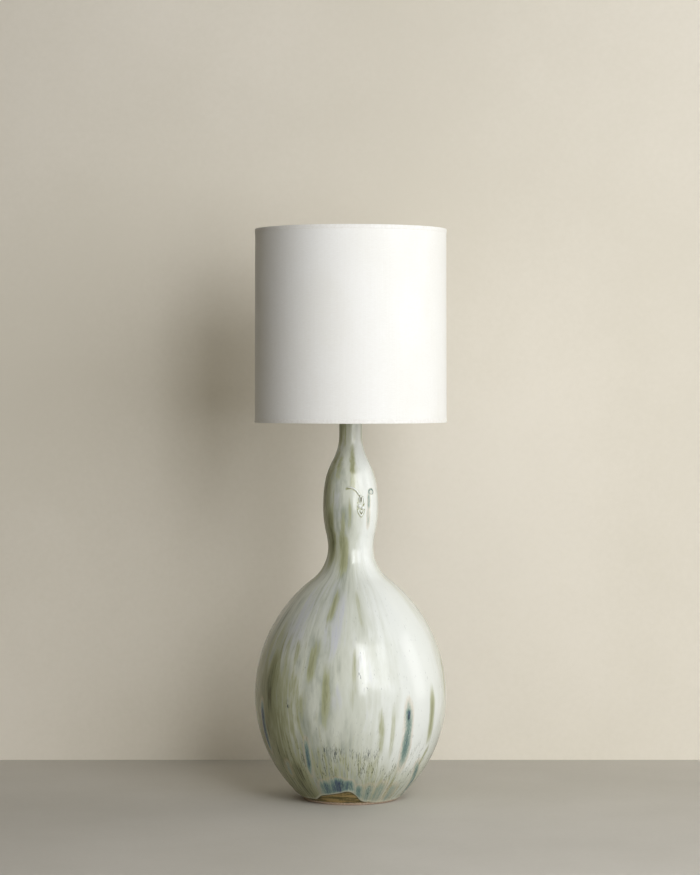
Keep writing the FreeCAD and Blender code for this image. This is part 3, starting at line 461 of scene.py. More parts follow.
# Levels and radii of the turned body, in mm.
FOOT_RADIUS, FOOT_BEVEL, FOOT_EASE, FOOT_INNER, RECESS = 62.5, 1.2, 0.35, 50.5, 14.0
WALL, FLOOR, ROD_HOLE, NECK_RADIUS, NECK, NECK_TOP, LIP = 6.0, 23.0, 5.8, 15.6, 495.0, 520.0, 1.5
BELLY, BELLY_RADIUS, BELLY_SHARE = 142.0, 130.2, 0.78
WAIST, WAIST_RADIUS, WAIST_SHARE = 343.0, 30.6, 0.3
LOBE, LOBE_RADIUS, LOBE_ARC = 398.5, 37.3, 213.0
CROWN, CROWN_ARC = 426.0, 99.0
CORD_HOLE, CORD_HOLE_RADIUS = 27.0, 6.4
BODY_SIDES = 256
# Heights above the glaze's edge that mean bare clay and full glaze.
UNGLAZED, WELL_GLAZED = -60.0, 99.0


def arc_over(reach, rise):
    """The radius of an arc that leaves a level square to it and moves reach sideways over rise."""
    return (reach ** 2 + rise ** 2) / (2 * reach)


LOWER_ARC = arc_over(BELLY_RADIUS - FOOT_RADIUS, BELLY)
SHOULDER_ARC = arc_over(BELLY_RADIUS - WAIST_RADIUS, WAIST - BELLY)
SWELL_ARC = arc_over(LOBE_RADIUS - WAIST_RADIUS, LOBE - WAIST)
LOBE_TILT = math.asin((CROWN - LOBE) / LOBE_ARC)
CROWN_CENTRE = (LOBE_RADIUS - LOBE_ARC + (LOBE_ARC - CROWN_ARC) * math.cos(LOBE_TILT),
                LOBE + (LOBE_ARC - CROWN_ARC) * math.sin(LOBE_TILT))
NECK_REACH, NECK_RISE = NECK_RADIUS - CROWN_CENTRE[0], NECK - CROWN_CENTRE[1]
NECK_ARC = (NECK_REACH ** 2 + NECK_RISE ** 2 - CROWN_ARC ** 2) / (2 * (CROWN_ARC - NECK_REACH))
THROAT = CROWN_CENTRE[1] + NECK_RISE * CROWN_ARC / (CROWN_ARC + NECK_ARC)
# Arcs of the outer wall from the foot up: where each ends, its centre, its radius and the side it bulges to.
WALL_ARCS = [
    (BELLY, BELLY_RADIUS - LOWER_ARC, BELLY, LOWER_ARC, 1),
    (BELLY + (WAIST - BELLY) * BELLY_SHARE, BELLY_RADIUS - SHOULDER_ARC * BELLY_SHARE, BELLY,
     SHOULDER_ARC * BELLY_SHARE, 1),
    (WAIST, WAIST_RADIUS + SHOULDER_ARC * (1 - BELLY_SHARE), WAIST, SHOULDER_ARC * (1 - BELLY_SHARE), -1),
    (WAIST + (LOBE - WAIST) * WAIST_SHARE, WAIST_RADIUS + SWELL_ARC * WAIST_SHARE, WAIST,
     SWELL_ARC * WAIST_SHARE, -1),
    (LOBE, LOBE_RADIUS - SWELL_ARC * (1 - WAIST_SHARE), LOBE, SWELL_ARC * (1 - WAIST_SHARE), 1),
    (CROWN, LOBE_RADIUS - LOBE_ARC, LOBE, LOBE_ARC, 1),
    (THROAT, *CROWN_CENTRE, CROWN_ARC, 1),
    (NECK, NECK_RADIUS + NECK_ARC, NECK, NECK_ARC, -1),
    (NECK_TOP + 1, NECK_RADIUS, NECK, 0.0, 1),
]


def wall_radius(height, inset=0.0):
    """The gourd's radius at a height; inset moves the whole wall in, square to itself."""
    for end, across, up, radius, side in WALL_ARCS:
        if height <= end:
            if not radius:
                return across - inset
            bend = radius - side * inset
            return across + side * math.sqrt(max(bend ** 2 - (height - up) ** 2, 0))


def stations():
    """Heights of the rings up the outer wall: close at the glaze's edge and at the sprig, wider elsewhere."""
    glaze_edge, sprig_low, sprig_high = 26, 376, 432
    heights, height = [], FOOT_BEVEL
    while height < NECK_TOP - LIP:
        heights.append(height)
        slope = abs(wall_radius(height + 0.5) - wall_radius(height)) / 0.5
        step = 0.75 if height < glaze_edge else 1.35 if sprig_low < height < sprig_high else 2.35
        height += step / math.sqrt(1 + slope * slope)
    return heights


# Each run on the glaze: azimuth and height at its top, the same at its foot, its half width and its strength.
# Azimuth 0 is the front and goes round towards +X; heights and widths in mm.
# Several wide runs on the left, from azimuth -38 to -80, are partly painted shade down the side away from the
# lamps.
OLIVE_AND_SHADE_RUNS = [
    (-14.7, 288, -17.0, 248, 6.0, 0.85), (6.7, 288, 9.6, 232, 4.0, 0.45), (-37.8, 226, -35.8, 190, 8.0, 0.6),
    (-23.4, 223, -25.1, 170, 7.5, 0.85), (-14.3, 188, -15.8, 116, 7.0, 0.8), (2.7, 212, 1.3, 138, 4.5, 0.55),
    (-55.6, 206, -58.0, 96, 12.0, 1.3), (-31.0, 156, -31.2, 112, 6.5, 0.65), (18.6, 134, 19.4, 66, 5.6, 0.55),
    (26.0, 146, 26.5, 60, 5.0, 0.5), (56.6, 158, 58.2, 84, 7.0, 0.85), (60.9, 80, 56.6, 42, 5.0, 0.65),
    (-20.7, 86, -22.9, 40, 4.4, 0.65), (-34.0, 108, -32.2, 28, 5.0, 0.65), (5.2, 480, 5.1, 420, 4.2, 0.85),
    (-36.8, 470, -32.4, 434, 5.0, 0.6), (-14.2, 398, -18.1, 352, 4.6, 0.6), (-1.5, 406, -3.8, 364, 3.6, 0.5),
    (-49.0, 400, -54.0, 318, 8.0, 1.15), (-20.0, 366, -15.5, 308, 7.0, 1.0), (14.3, 226, 13.7, 200, 4.2, 0.4),
    (-68.0, 450, -68.0, 366, 9.0, 1.25), (-58.0, 480, -56.0, 400, 7.0, 0.7), (34.0, 62, 36.0, 18, 5.0, 0.45),
    (-3.0, 74, -2.0, 30, 5.0, 0.45),
    (8.0, 70, 9.0, 20, 4.0, 0.4), (-12.0, 66, -13.0, 34, 4.0, 0.45), (-68.0, 150, -70.0, 30, 14.0, 0.85),
    (-46.0, 66, -42.0, 2, 24.0, 1.2), (-38.0, 190, -44.0, 110, 20.0, 0.6), (-80.0, 330, -80.0, 290, 10.0, 0.6),
    (46.0, 96, 44.0, 60, 3.6, 0.35),
]
COBALT_RUNS = [
    (36.3, 138, 38.0, 58, 6.0, 0.72), (36.0, 134, 36.4, 120, 2.4, 1.7), (55.0, 56, 72.0, 6, 6.0, 0.75),
    (-28.8, 92, -30.4, 48, 3.4, 0.95), (-66.0, 134, -67.0, 78, 4.6, 1.5), (-21.0, 36, -21.5, 14, 9.0, 0.85),
    (-11.0, 40, -11.6, 17, 11.0, 1.15), (-2.0, 38, -1.5, 22, 7.0, 0.9), (7.0, 30, 7.6, 10, 5.5, 0.7),
    (16.0, 32, 17.0, 5, 9.0, 0.4), (27.0, 34, 27.0, 4, 9.0, 0.42), (40.0, 30, 42.0, 3, 8.0, 0.36),
    (42.0, 416, 41.0, 396, 2.4, 0.6), (40.0, 398, 41.0, 370, 3.2, 0.3), (-50.0, 62, -52.0, 40, 6.0, 0.35),
]
MILK_RUNS = [
    (-38.0, 300, -42.0, 190, 22.0, 0.8), (-14.0, 300, -12.0, 196, 20.0, 0.75), (6.0, 250, 4.0, 180, 12.0, 0.45),
    (-8.0, 170, -10.0, 130, 14.0, 0.55), (-30.0, 440, -30.0, 372, 9.0, 0.7), (12.0, 250, 10.0, 90, 9.0, 0.35),
    (8.0, 476, 10.0, 440, 4.5, 0.5), (-50.0, 262, -52.0, 196, 14.0, 0.7),
]
# Groups of iron flecks: azimuth, height and spread.
FLECKS = [
    (-15.8, 81, 5), (-10.8, 77, 7), (-5.6, 76, 6), (-9.7, 70, 5), (10.6, 74, 6), (17.2, 76, 5), (4.7, 73, 5),
    (0.8, 78, 5), (22.9, 53, 4), (-39.7, 141, 4), (5.5, 181, 3), (9.0, 162, 3), (36.5, 124, 3), (36.9, 96, 4),
    (-14.0, 46, 4), (-24.0, 60, 3), (-2.0, 58, 4), (8.0, 52, 3), (-8.0, 34, 5), (16.0, 24, 4), (28.0, 40, 3),
    (-36.0, 92, 3),
]
# The edge of the glaze above the foot, as azimuth and height.
GLAZE_EDGE = [
    (-180, 11), (-150, 15), (-120, 10), (-92, 12), (-70, 7), (-50, 5), (-38, 7), (-31, 13), (-22, 15),
    (-10, 19), (-1, 22.5), (3, 20), (8, 9), (14, 6), (24, 3.6), (33, 3.0), (62, 2.6), (80, 5), (96, 12),
    (118, 9), (140, 16), (160, 8), (180, 11),
]


def nearest_turn(turn):
    """The same direction, as an angle from minus to plus half a turn."""
    return (turn + math.pi) % (2 * math.pi) - math.pi


def run_field(turn, height, radius, runs):
    """How strongly the nearest run marks each point, 0 to 1."""
    field = np.zeros_like(height)
    for start, top, end, foot, width, strength in runs:
        share = np.clip((top - height) / (top - foot), 0, 1)
        centre = np.radians(start + (end - start) * share)
        aside = nearest_turn(turn - centre)
        fade = (top - foot) * 0.3
        along = smooth(foot - fade, foot + fade, height) * (1 - smooth(top - fade, top + fade, height))
        field = np.maximum(field, strength * along * np.exp(-(aside * radius / width) ** 2))
    return field


FAR_SIDE, FAR_SIDE_SPAN, LOWEST_RUN = 78, 204, 12


def far_side_runs(seed, count, heights, lengths, widths, strengths):
    """More runs of the same kind, for the sides and back."""
    draw = np.random.default_rng(seed)
    runs = []
    for index in range(count):
        azimuth = FAR_SIDE + FAR_SIDE_SPAN * (index + draw.uniform(0.1, 0.9)) / count
        top, length = draw.uniform(*heights), draw.uniform(*lengths)
        runs.append((azimuth, top, azimuth + draw.uniform(-2, 2), max(top - length, LOWEST_RUN),
                     draw.uniform(*widths), draw.uniform(*strengths)))
    return runs


def body_profile():
    """Radius and height of every ring, from the recess over the foot, the outer wall and the lip to the inside;
    also which of them are the outer wall and the lip."""
    rings = [(ROD_HOLE, RECESS), (20.0, RECESS), (36.0, RECESS), (FOOT_INNER - 2.5, RECESS),
             (FOOT_INNER - 0.6, RECESS - 0.4), (FOOT_INNER, RECESS - 2), (FOOT_INNER, 8.0), (FOOT_INNER, 3.0),
             (FOOT_INNER, FOOT_BEVEL), (FOOT_INNER + FOOT_EASE, FOOT_EASE), (FOOT_INNER + FOOT_BEVEL, 0.0),
             (55.0, 0.0), (58.5, 0.0), (FOOT_RADIUS - FOOT_BEVEL, 0.0), (FOOT_RADIUS - 0.3, FOOT_EASE)]
    below = len(rings)
    rings += [(wall_radius(height), height) for height in stations()]
    turning = [math.radians(angle) for angle in (15, 40, 65, 90)]
    centre, level = NECK_RADIUS - LIP, NECK_TOP - LIP
    rings += [(centre + LIP * math.cos(angle), level + LIP * math.sin(angle)) for angle in turning]
    rings += [(centre - WALL + 2 * LIP - LIP * math.sin(angle), level + LIP * math.cos(angle))
              for angle in turning]
    above = len(rings)
    inside = [510, 495, 480, 468, 456, 442, 426, 412, 398, 384, 370, 358, 348, 338, 328, 318, 306, 294,
              280, 262, 242, 220, 196, 170, 142, 114, 90, 70, 54, 42, 33, 26]
    rings += [(wall_radius(height, WALL), height) for height in inside]
    rings += [(wall_radius(FLOOR, WALL), FLOOR), (60.0, FLOOR), (30.0, FLOOR), (ROD_HOLE, FLOOR)]
    return rings, slice(below, above)


def glaze_fields(turn, height, radius, wall):
    """The marks of the glaze at each point, by name; the olive and calm fields also carry painted shade and a
    painted lit side.
    """
    azimuth = (np.degrees(turn) + 180) % 360 - 180

    def around(centre, spread):
        return np.exp(-((azimuth - centre) / spread) ** 2)

    def marks(*groups):
        return run_field(turn, height, radius, [run for group in groups for run in group])

    olive = marks(OLIVE_AND_SHADE_RUNS, far_side_runs(11, 26, (90, 300), (25, 75), (3, 9), (0.35, 0.8)),
                  far_side_runs(12, 7, (345, 470), (20, 50), (3, 6), (0.5, 0.9)))
    cobalt = marks(COBALT_RUNS, far_side_runs(21, 9, (40, 150), (25, 60), (2.5, 6), (0.6, 1.0)),
                   far_side_runs(22, 6, (24, 40), (10, 24), (6, 11), (0.6, 0.9)))
    milk = marks(MILK_RUNS, far_side_runs(41, 12, (190, 300), (60, 110), (10, 20), (0.5, 0.8)))
    fleck = marks([(place, up + spread * 1.6, place, up - spread * 1.6, spread, 1.0)
                   for place, up, spread in FLECKS],
                  far_side_runs(31, 16, (55, 110), (12, 26), (3, 6), (0.7, 1.0)))
    # calm: a quieter, creamier glaze round azimuth 46, towards the lamps; partly a painted lit side.
    calm_lit_side = around(46, 34) * smooth(20, 70, height)

    # The glaze is thin, and so olive, at the neck, the waist and near the foot. Each of these zones is also
    # painted shade, darker on the side away from the lamps, and the two side zones are painted shade down the
    # left of the belly and the lobe.
    neck = smooth(462, 492, height) * (0.62 - 0.3 * np.cos(turn - math.radians(35)))
    waist = np.exp(-((height - 338) / 30) ** 2) * smooth(0.1, -0.8, np.sin(turn - math.radians(8))) * 0.55
    shaded_belly_side = (0.5 + 0.45 * smooth(215, 150, height)) * around(-62, 32) * smooth(275, 215, height)
    shaded_lobe_side = 0.9 * around(-72, 34) * smooth(318, 345, height) * smooth(470, 440, height)
    skirt = 0.5 * smooth(125, 45, height) * (1 - 0.6 * around(52, 34))
    olive = np.maximum.reduce([olive, neck, waist, shaded_belly_side, shaded_lobe_side, skirt, sprig_pooling_and_shade(turn, height, radius)])

    # Cobalt lies in the hollow of the curled leaf.
    leaf_azimuth, leaf_height, leaf_reach = 48.6, 418.8, 3.7
    gap = np.hypot((turn - math.radians(leaf_azimuth)) * radius / 1.1, height - leaf_height)
    hook = np.exp(-((gap - leaf_reach) / 1.2) ** 2) * smooth(-4.5, -1.0, height - leaf_height) * 0.8
    cobalt = np.maximum(cobalt, hook)

    # Height above the glaze's edge; the underside, the recess and the inside stay bare clay.
    wander = np.interp(azimuth, *zip(*GLAZE_EDGE))
    wander = sum(np.roll(wander, shift, 1) for shift in range(-3, 4)) / 7
    wander = wander + ripple(3, turn, height * 0, 70, 50) * 0.9 + ripple(8, turn, height * 0, 24, 50) * 1.1
    edge = np.full_like(height, UNGLAZED)
    edge[wall] = (height - wander)[wall]
    return {"olive": olive, "cobalt": cobalt, "milk": milk, "fleck": fleck, "calm_lit_side": calm_lit_side, "edge": edge}


def glaze_relief(turn, height, fields, wall):
    """How far each point stands proud of the turned wall, in mm."""
    outside = np.zeros_like(height)
    outside[wall] = 1
    edge, below_neck = fields["edge"], 1 - smooth(470, 500, height)
    glazed = smooth(-0.6, 0.9, edge)
    lip = np.exp(-((edge - 1.9) / 1.5) ** 2) * smooth(-0.4, 0.6, edge)
    hand = (ripple(4, turn, height, 7, 90) * 0.45 + ripple(5, turn, height, 26, 60) * 0.1
            + ripple(6, turn, height, 64, 46) * 0.09 + ripple(7, turn * 0, height, 1, 11) * 0.07)
    relief = (glazed - 1) * 0.55 + lip * 0.75
    relief += smooth(6, 60, height) * below_neck * outside * hand
    relief += glazed * (fields["cobalt"] * 0.35 - fields["olive"] * 0.12) * below_neck
    return relief * outside * smooth(0.5, 3.0, height)


def glazed_body():
    """The whole hollow body, with the glaze's relief on its outer wall."""
    profile, wall = body_profile()
    turn_row = np.linspace(0, 2 * math.pi, BODY_SIDES, endpoint=False)
    radius, height = (np.array(column)[:, None] + np.zeros(BODY_SIDES) for column in zip(*profile))
    turn = turn_row[None, :] + np.zeros_like(radius)
    fields = glaze_fields(turn, height, radius, wall)
    relief = glaze_relief(turn, height, fields, wall)
    # Relief moves a point square to the wall.
    slope = np.gradient(radius[:, 0], edge_order=1), np.gradient(height[:, 0], edge_order=1)
    length = np.hypot(*slope) + 1e-9
    out_r, out_z = (slope[1] / length)[:, None], (-slope[0] / length)[:, None]
    moved_r, moved_z = radius + relief * out_r, height + relief * out_z
    rings = np.stack([moved_r * np.sin(turn), -moved_r * np.cos(turn), moved_z], -1)
    piece = grid_piece("glazed_body", rings, finishes["glaze"], "lamp_base")
    for name, field in fields.items():
        store(piece, name, field)
    bore_cord_hole(piece)
    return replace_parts(piece, "gourd_body")


def bore_cord_hole(piece):
    """Opens the wall where the rubber bush sits at the back of the heel, and lines the hole."""
    low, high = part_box("cord_grommet")
    centre = (low + high) / 2
    drop = (BELLY - CORD_HOLE) / LOWER_ARC
    axis = Vector((0, math.sqrt(1 - drop * drop), -drop))
    made = bmesh.new()
    made.from_mesh(piece.data)
    gone = []
    for face in made.faces:
        gap = face.calc_center_median() - centre
        if gap.length < 14 * MM and (gap - axis * gap.dot(axis)).length < CORD_HOLE_RADIUS * MM:
            gone.append(face)
    bmesh.ops.delete(made, geom=gone, context="FACES")
    loose = [vertex for vertex in made.verts if not vertex.link_faces]
    bmesh.ops.delete(made, geom=loose, context="VERTS")
    rims = [edge for edge in made.edges if edge.is_boundary]
    bmesh.ops.bridge_loops(made, edges=rims)
    bmesh.ops.recalc_face_normals(made, faces=made.faces)
    made.to_mesh(piece.data)
    made.free()


# ---------------------------------------------------------------- the applied sprig

def on_wall(azimuth, height):
    """A point on the gourd's wall in mm, and the wall's outward direction there."""
    radius = wall_radius(height)
    slope = (wall_radius(height + 0.5) - wall_radius(height - 0.5))
    turn = math.radians(azimuth)
    out = Vector((math.sin(turn), -math.cos(turn), -slope)).normalized()
    return Vector((radius * math.sin(turn), -radius * math.cos(turn), height)), out


RIDGE_SIDES, RIDGE_SINK = 18, 0.25


def sprig_ridge(points, widths):
    """Rings of a soft ridge laid along points on the wall, each given as azimuth and height."""
    places = [on_wall(azimuth, height) for azimuth, height in points]
    rings = []
    for index, (place, out) in enumerate(places):
        before, after = places[max(index - 1, 0)][0], places[min(index + 1, len(places) - 1)][0]
        ahead = (after - before).normalized()
        side = ahead.cross(out).normalized()
        width = widths[index]
        rings.append([place + side * math.cos(angle) * width + out * (math.sin(angle) * width - RIDGE_SINK)
                      for angle in np.linspace(0, 2 * math.pi, RIDGE_SIDES, endpoint=False)])
    return rings


def curve_through(points, count):
    """More points on a smooth line through a few."""
    points = np.array(points, float)
    fine = np.linspace(0, len(points) - 1, count)
    result = []
    for column in points.T:
        slopes = np.gradient(column)
        row = np.clip(fine.astype(int), 0, len(points) - 2)
        t = fine - row
        result.append((2 * t ** 3 - 3 * t ** 2 + 1) * column[row] + (t ** 3 - 2 * t ** 2 + t) * slopes[row]
                      + (3 * t ** 2 - 2 * t ** 3) * column[row + 1] + (t ** 3 - t ** 2) * slopes[row + 1])
    return np.stack(result, -1)


# Stems and leaves: azimuth, height and half width along each.
SPRIG_LINES = [
    [(-9.5, 424.6, 0.4), (-5.0, 425.3, 0.8), (1.0, 425.2, 1.05), (7.0, 423.8, 1.15), (12.0, 421.2, 1.2),
     (16.5, 417.6, 1.35), (19.5, 414.2, 1.0)],
    [(14.4, 396.8, 0.6), (16.2, 393.0, 1.0), (19.2, 389.6, 1.2), (22.4, 387.2, 1.4), (25.4, 389.8, 1.1),
     (28.2, 393.4, 0.9), (29.2, 396.4, 0.5)],
    [(26.0, 413.5, 0.5), (28.6, 410.5, 1.0), (29.0, 405.5, 1.0), (27.0, 402.0, 0.6)],
]
# Buds: azimuth, height, half width, half height, how far they stand out, and how deep the slot is.
SPRIG_BUDS = [
    (21.9, 409.2, 3.2, 5.4, 3.0, 0.85), (18.8, 400.0, 2.7, 2.8, 2.4, 0.0), (26.0, 397.4, 2.5, 2.6, 2.2, 0.0),
    (22.4, 393.0, 1.6, 1.9, 1.6, 0.0), (48.6, 418.6, 3.4, 3.0, 1.5, 0.3),
]


def sprig_pooling_and_shade(turn, height, radius):
    """How dark the wall is beside and under the sprig: the glaze pooled there, and painted shade below its stems
    and buds.
    """
    field = np.zeros_like(height)
    middle, reach = 402, 34
    near = np.abs(height[:, 0] - middle) < reach
    turn, level, radius = turn[near], height[near], radius[near]
    spots = [(azimuth, up - 1.3, 1.2, 1.1) for line in SPRIG_LINES for azimuth, up, _ in curve_through(line, 40)]
    spots += [(azimuth - 2.0, up - 0.8, wide + 0.3, 1.0) for azimuth, up, wide, _, _, _ in SPRIG_BUDS[:-1]]
    spots += [(22.3, 391.0, 2.6, 1.5), (15.0, 404.5, 1.4, 1.0)]
    for azimuth, up, reach, strength in spots:
        aside = nearest_turn(turn - math.radians(azimuth))
        gap = np.hypot(aside * radius, level - up)
        field[near] = np.maximum(field[near], strength * np.exp(-(gap / reach) ** 2))
    return field


def applied_sprig():
    """A pressed-on tendril with a slotted bud, small berries and a curled leaf under the glaze."""
    mesh = bmesh.new()
    for line in SPRIG_LINES:
        fine = curve_through(line, 8 * len(line))
        taper = np.minimum(1, np.minimum(np.arange(len(fine)) + 0.6, np.arange(len(fine))[::-1] + 0.6) / 4)
        rings = sprig_ridge(fine[:, :2], fine[:, 2] * taper)
        rows = [[mesh.verts.new(point * MM) for point in ring] for ring in rings]
        for row, after in zip(rows, rows[1:]):
            for index in range(len(row)):
                beside = (index + 1) % len(row)
                mesh.faces.new((row[index], row[beside], after[beside], after[index]))
        mesh.faces.new(rows[0][::-1])
        mesh.faces.new(rows[-1])
    dents = {}
    for azimuth, height, wide, tall, proud, slot in SPRIG_BUDS:
        place, out = on_wall(azimuth, height)
        up = Vector((0, 0, 1))
        side = up.cross(out).normalized()
        up = out.cross(side)
        bud = bmesh.ops.create_uvsphere(mesh, u_segments=32, v_segments=24, radius=1.0)["verts"]
        for vertex in bud:
            x, y, z = vertex.co
            dent = slot * math.exp(-((x + 0.22) / 0.24) ** 2) * math.exp(-(y / 0.66) ** 4) if z > 0 else 0
            rise = z * proud * (1 - dent * 0.7) - 0.3
            vertex.co = (place + side * x * wide + up * y * tall + out * rise) * MM
            dents[vertex] = dent
    mesh.verts.index_update()
    dent = np.zeros(len(mesh.verts))
    for vertex, depth in dents.items():
        dent[vertex.index] = depth
    data = bpy.data.meshes.new("applied_sprig")
    mesh.to_mesh(data)
    mesh.free()
    piece = dress("applied_sprig", data, glaze_finish("glaze_on_sprig"), "lamp_base")
    where = np.array([vertex.co for vertex in piece.data.vertices]) / MM
    radius = np.array([wall_radius(height) for height in where[:, 2]])
    proud = np.hypot(where[:, 0], where[:, 1]) - radius
    ridge = smooth(0.0, 0.7, proud)
    # Low ground at the sprig's foot and the slot in the bud are painted dark, partly pooled glaze and partly
    # painted shade; the ridge tops are painted pale through the calm field, partly a painted highlight.
    store(piece, "olive", np.maximum(1.2 - ridge * 1.5, dent * 2.6))
    store(piece, "cobalt", np.where(where[:, 0] > 24, 0.9 * (1 - ridge), 0))
    store(piece, "fleck", np.zeros(len(where)))
    store(piece, "milk", np.zeros(len(where)))
    store(piece, "calm_lit_side", ridge)
    store(piece, "edge", np.full(len(where), WELL_GLAZED))
    return piece


glazed_body()
applied_sprig()


# ---------------------------------------------------------------- the shade

SHADE_TOP, SHADE_HEIGHT, SHADE_RADIUS, FLARE = 774.5, 262.0, 129.7, 0.6
SHADE_FOOT = SHADE_TOP - SHADE_HEIGHT
AROUND = 360
SEAM_AT, SEAM_HALF, SEAM_LIFT = 180, 5.5, 0.32
TUCK, ROUNDING, CLOTH, LINER_OUT, LINER_IN, SAG = 0.45, 0.15, 0.42, 0.44, 0.96, 0.12
TAPE_PROUD, WIRE_INSET, WIRE_HALF = 0.45, 2.55, 1.55


def drum(height):
    return SHADE_RADIUS + FLARE * (SHADE_TOP - height) / SHADE_HEIGHT


def seam(turn, half, lift):
    """The extra thickness where a sheet laps over its own edge at the back: one side sharp, one soft."""
    aside = nearest_turn(turn - math.radians(SEAM_AT)) * SHADE_RADIUS
    return lift * smooth(-half - 0.5, -half + 0.1, aside) * (1 - smooth(half - 1.5, half + 3.5, aside))


def shade_turns():
    """Directions round the shade, closer together at the lapped seams."""
    even = np.linspace(0, 2 * math.pi, AROUND, endpoint=False)
    close = math.pi + np.linspace(-9.5, 9.5, 39) / SHADE_RADIUS
    kept = even[np.abs(even - math.pi) > 10.2 / SHADE_RADIUS]
    return np.sort(np.concatenate([kept, close]))


def hoop_ring(turn, reach, height):
    """One ring of points round the axis."""
    return np.stack([reach * np.sin(turn), -reach * np.cos(turn), height + turn * 0], -1)


def shade_wall(name, section, half, lift, finish):
    """A sheet of the shade: (radius, height, side) points turned round the axis. Side tells how far a point
    lifts with the seam."""
    turn = shade_turns()
    rings = []
    for radius, height, side in section:
        slack = ripple(41, turn, np.full_like(turn, height), 9, 130) * SAG
        rings.append(hoop_ring(turn, radius + side * seam(turn, half, lift) + slack, height))
    return grid_piece(name, rings, finishes[finish], "shade")


def shade_walls():
    """The linen outside and the stiff liner behind it, both tucked into the hems."""
    foot, head = SHADE_FOOT + TUCK, SHADE_TOP - TUCK
    up = np.linspace(foot + ROUNDING, head - ROUNDING, 42)
    outside = [(drum(height), height, 1) for height in up]
    linen = [(drum(foot) - ROUNDING, foot, 0.6)] + outside + [(drum(head) - ROUNDING, head, 0.6)]
    linen += [(drum(head) - CLOTH, head, 0), (drum(foot) - CLOTH, foot, 0)]
    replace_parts(shade_wall("shade_linen", linen, SEAM_HALF, SEAM_LIFT, "shade_cloth"), "shade_skin")
    liner = [(drum(height) - LINER_OUT, height, 0) for height in (foot, head)]
    liner += [(drum(height) - LINER_IN, height, -1) for height in up[::-1]]
    shade_wall("shade_liner", liner, 9.0, 0.35, "liner")


def hem(name, node, rim, inward, seed):
    """Tape folded over the rim and its wire, with a rolled edge and slightly puckered sides."""
    outer = drum(rim) + TAPE_PROUD
    inside = drum(rim) - WIRE_INSET - WIRE_HALF
    # Radius, depth from the rim, and how far the point lifts with the seam.
    corners = [(outer, 0.45, 1), (outer + 0.03, 1.4, 1), (outer, 3.2, 1), (outer - 0.02, 5.0, 1),
               (outer - 0.08, 5.5, 1), (outer - 0.24, 5.6, 1), (outer - 0.38, 5.45, 1), (outer - 0.4, 4.0, 1),
               (outer - 0.4, 0.75, 1), (outer - 0.55, 0.42, 0.5), (inside + 0.1, 0.42, 0), (inside, 0.5, 0),
               (inside, 1.25, 0), (inside - 0.2, 1.34, 0), (inside - 0.4, 1.25, 0), (inside - 0.4, 0.4, 0),
               (inside - 0.25, 0.08, 0), (inside + 0.1, 0.0, 0), (outer - 0.6, 0.0, 0.5), (outer - 0.3, 0.05, 1),
               (outer - 0.08, 0.2, 1)]
    turn = shade_turns()
    pucker = ripple(seed, turn, turn * 0, 150, 50) * 0.05
    uneven = ripple(seed + 1, turn, turn * 0, 34, 50) * 0.12
    lap = seam(turn, SEAM_HALF + 1.5, SEAM_LIFT)
    rings = [hoop_ring(turn, radius + side * lap + side * pucker * min(depth, 1.0),
                       rim + inward * (depth + uneven * (depth > 4))) for radius, depth, side in corners]
    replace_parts(grid_piece(name, rings, finishes["shade_tape"], "shade"), node)


shade_walls()
hem("hem_top", "shade_trim_top", SHADE_TOP, -1, 748)
hem("hem_bottom", "shade_trim_bottom", SHADE_FOOT, 1, 1070)


# ---------------------------------------------------------------- the bulb's cap

def threaded_cap():
    """The bulb's cap: a thin turned wall with a rolled thread between its foot and its shoulder."""
    pitch, depth, run_in, sheet, hole = 3.63, 0.75, 0.8, 0.4, 9.2
    low, high = (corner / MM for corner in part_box("bulb_base"))
    radius, foot, head = high.x, low.z, high.z
    first, last = foot + 3.0, head - 4.5
    up = np.arange(foot + 1.6, head - 0.2, 0.26)
    section = [(hole, foot), (radius - 1.6, foot), (radius - 0.9, foot + 0.35), (radius - 0.3, foot + 0.95)]
    section += [(radius, height) for height in up] + [(radius, head), (radius - sheet, head)]
    section += [(radius - sheet, height) for height in up[::-1]]
    section += [(radius - 0.7, foot + 1.2), (radius - 1.7, foot + sheet), (hole, foot + sheet)]
    turn = np.linspace(0, 2 * math.pi, 96, endpoint=False)
    rings = []
    for across, height in section:
        held = smooth(first - run_in, first + run_in, height)
        held = held * (1 - smooth(last - run_in, last + run_in, height))
        phase = height / pitch - turn / (2 * math.pi)
        reach = across - depth * held * (0.5 - 0.5 * np.cos(2 * math.pi * phase))
        rings.append(hoop_ring(turn, reach, height))
    piece = grid_piece("bulb_cap", rings, finishes["screw_metal"], "bulb")
    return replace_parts(piece, "bulb_base")


threaded_cap()


# ---------------------------------------------------------------- finishes on the CAD parts

for item in frame["record"]["subparts"]:
    part = nodes[item["node"]]
    if not part.hide_render:
        part.data.materials.clear()
        part.data.materials.append(finishes[item["material_slot"]])


# ---------------------------------------------------------------- floor, wall, light and camera

def stage_finish(name, low, high, scale, roughness):
    """Plain painted plaster, dark towards the unlit side of the room; seen through from behind, so that no
    view is blocked."""
    f = Finish(name)
    cloud = f.grain(f.stretched(scale, scale), 4.0, 0.55)
    fine = f.grain(f.stretched(140.0, 140.0), 3.0)
    colour = f.mix(low, high, (cloud * 0.85 + fine * 0.15).ease(0.3, 0.7))
    lit = f.axis("X").ease(-1.5, -0.7) * f.axis("Y").ease(-2.4, -1.5)
    colour = f.shade(colour, tint(120, 116, 108), 1 - lit)
    shader = f.node("BsdfPrincipled", None, {
        "Base Color": colour, "Roughness": roughness, "Specular IOR Level": 0.25})
    behind = f.node("NewGeometry", out="Backfacing")
    clear = f.node("BsdfTransparent")
    f.node("OutputMaterial", None, {"Surface": f.node("MixShader", None, {0: behind, 1: shader, 2: clear})})
    return f.material


